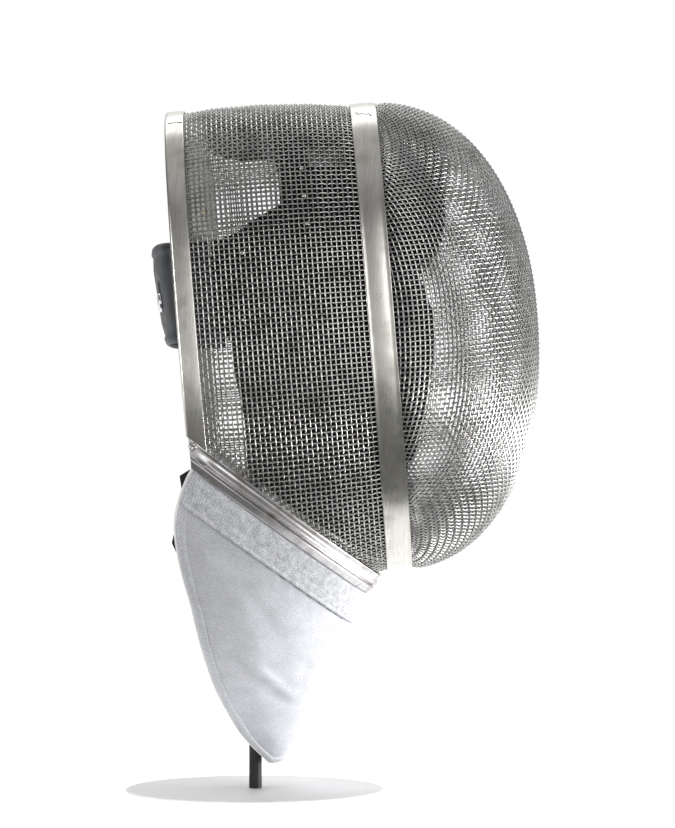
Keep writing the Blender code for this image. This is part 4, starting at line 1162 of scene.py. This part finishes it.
def make_bib():
    """White lining and lame cover of the bib, with the tape and the seam along the hem."""
    under = (STRIP_WIDTH + GAP - BIB_UNDER_STRIP) / BIB_DROP
    down = np.concatenate([np.linspace(-under, 0, 5)[:-1], np.linspace(0, 1, 110)])[:, None]
    by_hem = np.linspace(0, 0.05, 22)
    share = np.concatenate([by_hem, np.linspace(0.05, 0.95, 122)[1:-1], 1 - by_hem[::-1]])[None, :]
    lengths = hem_distance(np.full_like(down, 0.5), down)
    full_width = 2 * lengths[0, 0]
    held = "hung", ["bib_strip_ribbed"]

    def flat_map(round_share, down_share):
        return np.stack([(round_share - 0.5) * 2 * np.maximum(lengths, 4), down_share * BIB_DROP], -1)

    lining_round, lining_down = np.broadcast_arrays(share, np.clip(down, None, 0.999))
    lining_points = bib_wall(lining_round, lining_down, BIB_COVER + PLY_GAP)
    lining = surface("bib_lining_cotton", lining_points, flat=flat_map(lining_round, lining_down))
    cloth(lining, BIB_LINING, (full_width, LINING_LENGTH), *held)
    stand_in(lining, "bib_lining")

    border = np.clip(HEM_BORDER * 0.005 / hem_distance(np.full_like(down, 0.005), down), 0, 0.2)
    cover_round = 0.5 + (share - 0.5) * (1 - 2 * border)
    cover_down = np.where(down > 0, down * (1 - HEM_BORDER / BIB_DROP), down)
    cover_down = np.broadcast_to(cover_down, cover_round.shape)
    cover_points = bib_wall(cover_round, cover_down, -bib_relief(cover_round, cover_down))
    cover = surface("bib_cover_lame", cover_points, flat=flat_map(cover_round, cover_down))
    stand_in(cover, "bib_cover")

    make_tape(1 - border[4], lengths[0])
    hem_down = np.linspace(0.11, 0.955, 260)
    middle = bib_point(0.5 + 0 * hem_down, hem_down)
    hem_lines = []
    for half in (-0.5, 0.5):
        reach = np.linalg.norm(bib_point(0.5 + half, hem_down) - middle, axis=-1)
        at = 0.5 + half * (1 - HEM_SEAM / reach)
        hem_lines.append(sewn_line(at, hem_down, -bib_relief(at, hem_down)))
    sewn = stitches("hem_stitches", hem_lines, *HEM_STITCH, "lame_cloth")
    cloth(cover, BIB_COVER, (full_width, COVER_LENGTH), *held, [sewn])


def make_tabs():
    """Black tabs of hook tape behind the hem."""
    inset = BIB_COVER + BIB_LINING + 2 * PLY_GAP
    share = np.linspace(0, 1, 14)
    nib = np.clip(np.minimum(share / 0.55, (1 - share) / 0.45), 0.08, 1)
    for place_name, (high, low, behind, past) in TAB_ROWS.items():
        down = np.linspace(high, low, 14)[:, None] / BIB_DROP
        reach = -behind + (behind + past * nib)[:, None] * np.linspace(0, 1, 8)[None, :]
        flat = np.stack(np.broadcast_arrays(reach, down * BIB_DROP), -1)
        for side, root, way, side_name in ((0, 0.04, -1, "left"), (1, 0.96, 1, "right")):
            hem, inner = (bib_wall(np.full_like(down, spot), down, inset) for spot in (side, root))
            points = hem + unit(hem - inner) * reach[..., None]
            tab = surface(f"tab_{place_name}_{side_name}_hooks", points[:, ::way], flat=flat[:, ::way])
            cloth(tab, TAB_THICKNESS, (behind + past, low - high), "stretched", ["bib_lining_cotton"])
            stand_in(tab, f"tab_{place_name}_{side_name}")


for make in (make_weave, make_bands, make_trim, make_strap, make_rivets, make_lining, make_patches,
             make_strip, make_bib, make_tabs):
    make()


def staged_plane(name, size, place, material_name, colour_hex, roughness):
    """A level rectangle of the studio, of one plain colour, with its shader."""
    bpy.ops.object.select_all(action="DESELECT")
    bpy.ops.mesh.primitive_plane_add(size=1, location=place)
    plane = bpy.context.object
    plane.name = name
    plane.data.transform(Matrix.Diagonal((*size, 1, 1)))
    bpy.ops.object.transform_apply(location=True, rotation=False, scale=False)
    made, shader = new_material(material_name, Roughness=roughness, Base_Color=linear(colour_hex))
    plane.data.materials.append(made)
    return plane, shader


floor_shader = staged_plane("studio_floor", (12, 12), (0, 0, 0), "White studio floor", "#F2F2F2", 0.9)[1]
floor_shader.inputs["Emission Color"].default_value = linear("#FFFFFF")
floor_shader.inputs["Emission Strength"].default_value = 0.8

# Dark card low on the camera's side, out of its sight, that the lower metal reflects
card = staged_plane("dark_card", (1.4, 1.8), (-0.85, -0.05, 0.012), "Dark grey felt card", "#6A6A67", 1.0)[0]
card.visible_camera = False
card.visible_shadow = False

bpy.context.scene.view_settings.view_transform = "Standard"

# White room: the camera sees plain white, and the object is lit brighter from above, from behind and from
# beside the camera
world = bpy.data.worlds.new("White studio")
world.use_nodes = True
bpy.context.scene.world = world
ray = add_node(world, "LightPath").outputs["Is Camera Ray"]
axes = add_node(world, "SeparateXYZ", {"Vector": add_node(world, "TexCoord").outputs["Generated"]})
behind, beside_camera, above = (
    add_node(world, "MapRange", {"Value": axes.outputs[axis]}, interpolation_type="SMOOTHSTEP",
             From_Min=start, From_Max=stop, To_Min=dim, To_Max=bright).outputs["Result"]
    for axis, start, stop, dim, bright in (
        ("X", 0.42, 0.94, 0.12, 0.88), ("X", -0.80, -0.98, 0.0, 0.34), ("Z", 0.45, 0.95, 0.0, 0.42))
)
glow = add_node(world, "Math", {0: behind, 1: beside_camera}, operation="ADD")
light = add_node(world, "Math", {0: glow.outputs[0], 1: above}, operation="ADD")
seen = add_node(world, "Math", {0: ray, 1: light.outputs[0]}, operation="MAXIMUM")
backdrop = world.node_tree.nodes["Background"]
backdrop.inputs["Color"].default_value = (1, 1, 1, 1)
feed(world, backdrop, Strength=seen.outputs[0])

# Rectangular lights that the camera doesn't see: place, what each faces, size and watts
for name, place, target, size, watts in (
    ("Overhead softbox", (0.85, -0.1, 1.4), (0.85, -0.1, 0.0), (1.0, 1.6), 9),
    ("Low front softbox", (0.00, -0.75, 0.07), (0, 0, 0.08), (0.7, 0.13), 6.2),
    ("Card right of the camera", (-1.58, -0.66, 0.56), (0, -0.05, 0.28), (0.75, 1.0), 6.2),
    ("Card left of the camera", (-1.05, 1.30, 0.50), (0, 0, 0.26), (0.35, 0.9), 9),
):
    lamp_data = bpy.data.lights.new(name, "AREA")
    lamp_data.shape = "RECTANGLE"
    lamp_data.size, lamp_data.size_y = size
    lamp_data.energy = watts
    lamp = bpy.data.objects.new(name, lamp_data)
    bpy.context.scene.collection.objects.link(lamp)
    lamp.location = place
    lamp.rotation_euler = (Vector(target) - Vector(place)).to_track_quat("-Z", "Y").to_euler()
    lamp.visible_camera = False

camera_data = bpy.data.cameras.new("Camera")
camera_data.lens = SENSOR * (CAMERA_AWAY / PIXEL) / PHOTO_ROWS
camera_data.sensor_width = SENSOR
camera = bpy.data.objects.new("Camera", camera_data)
bpy.context.scene.collection.objects.link(camera)
camera.location = (-CAMERA_AWAY, *CAMERA_AIM)
camera.rotation_euler = (pi / 2, 0, -pi / 2)
bpy.context.scene.camera = camera
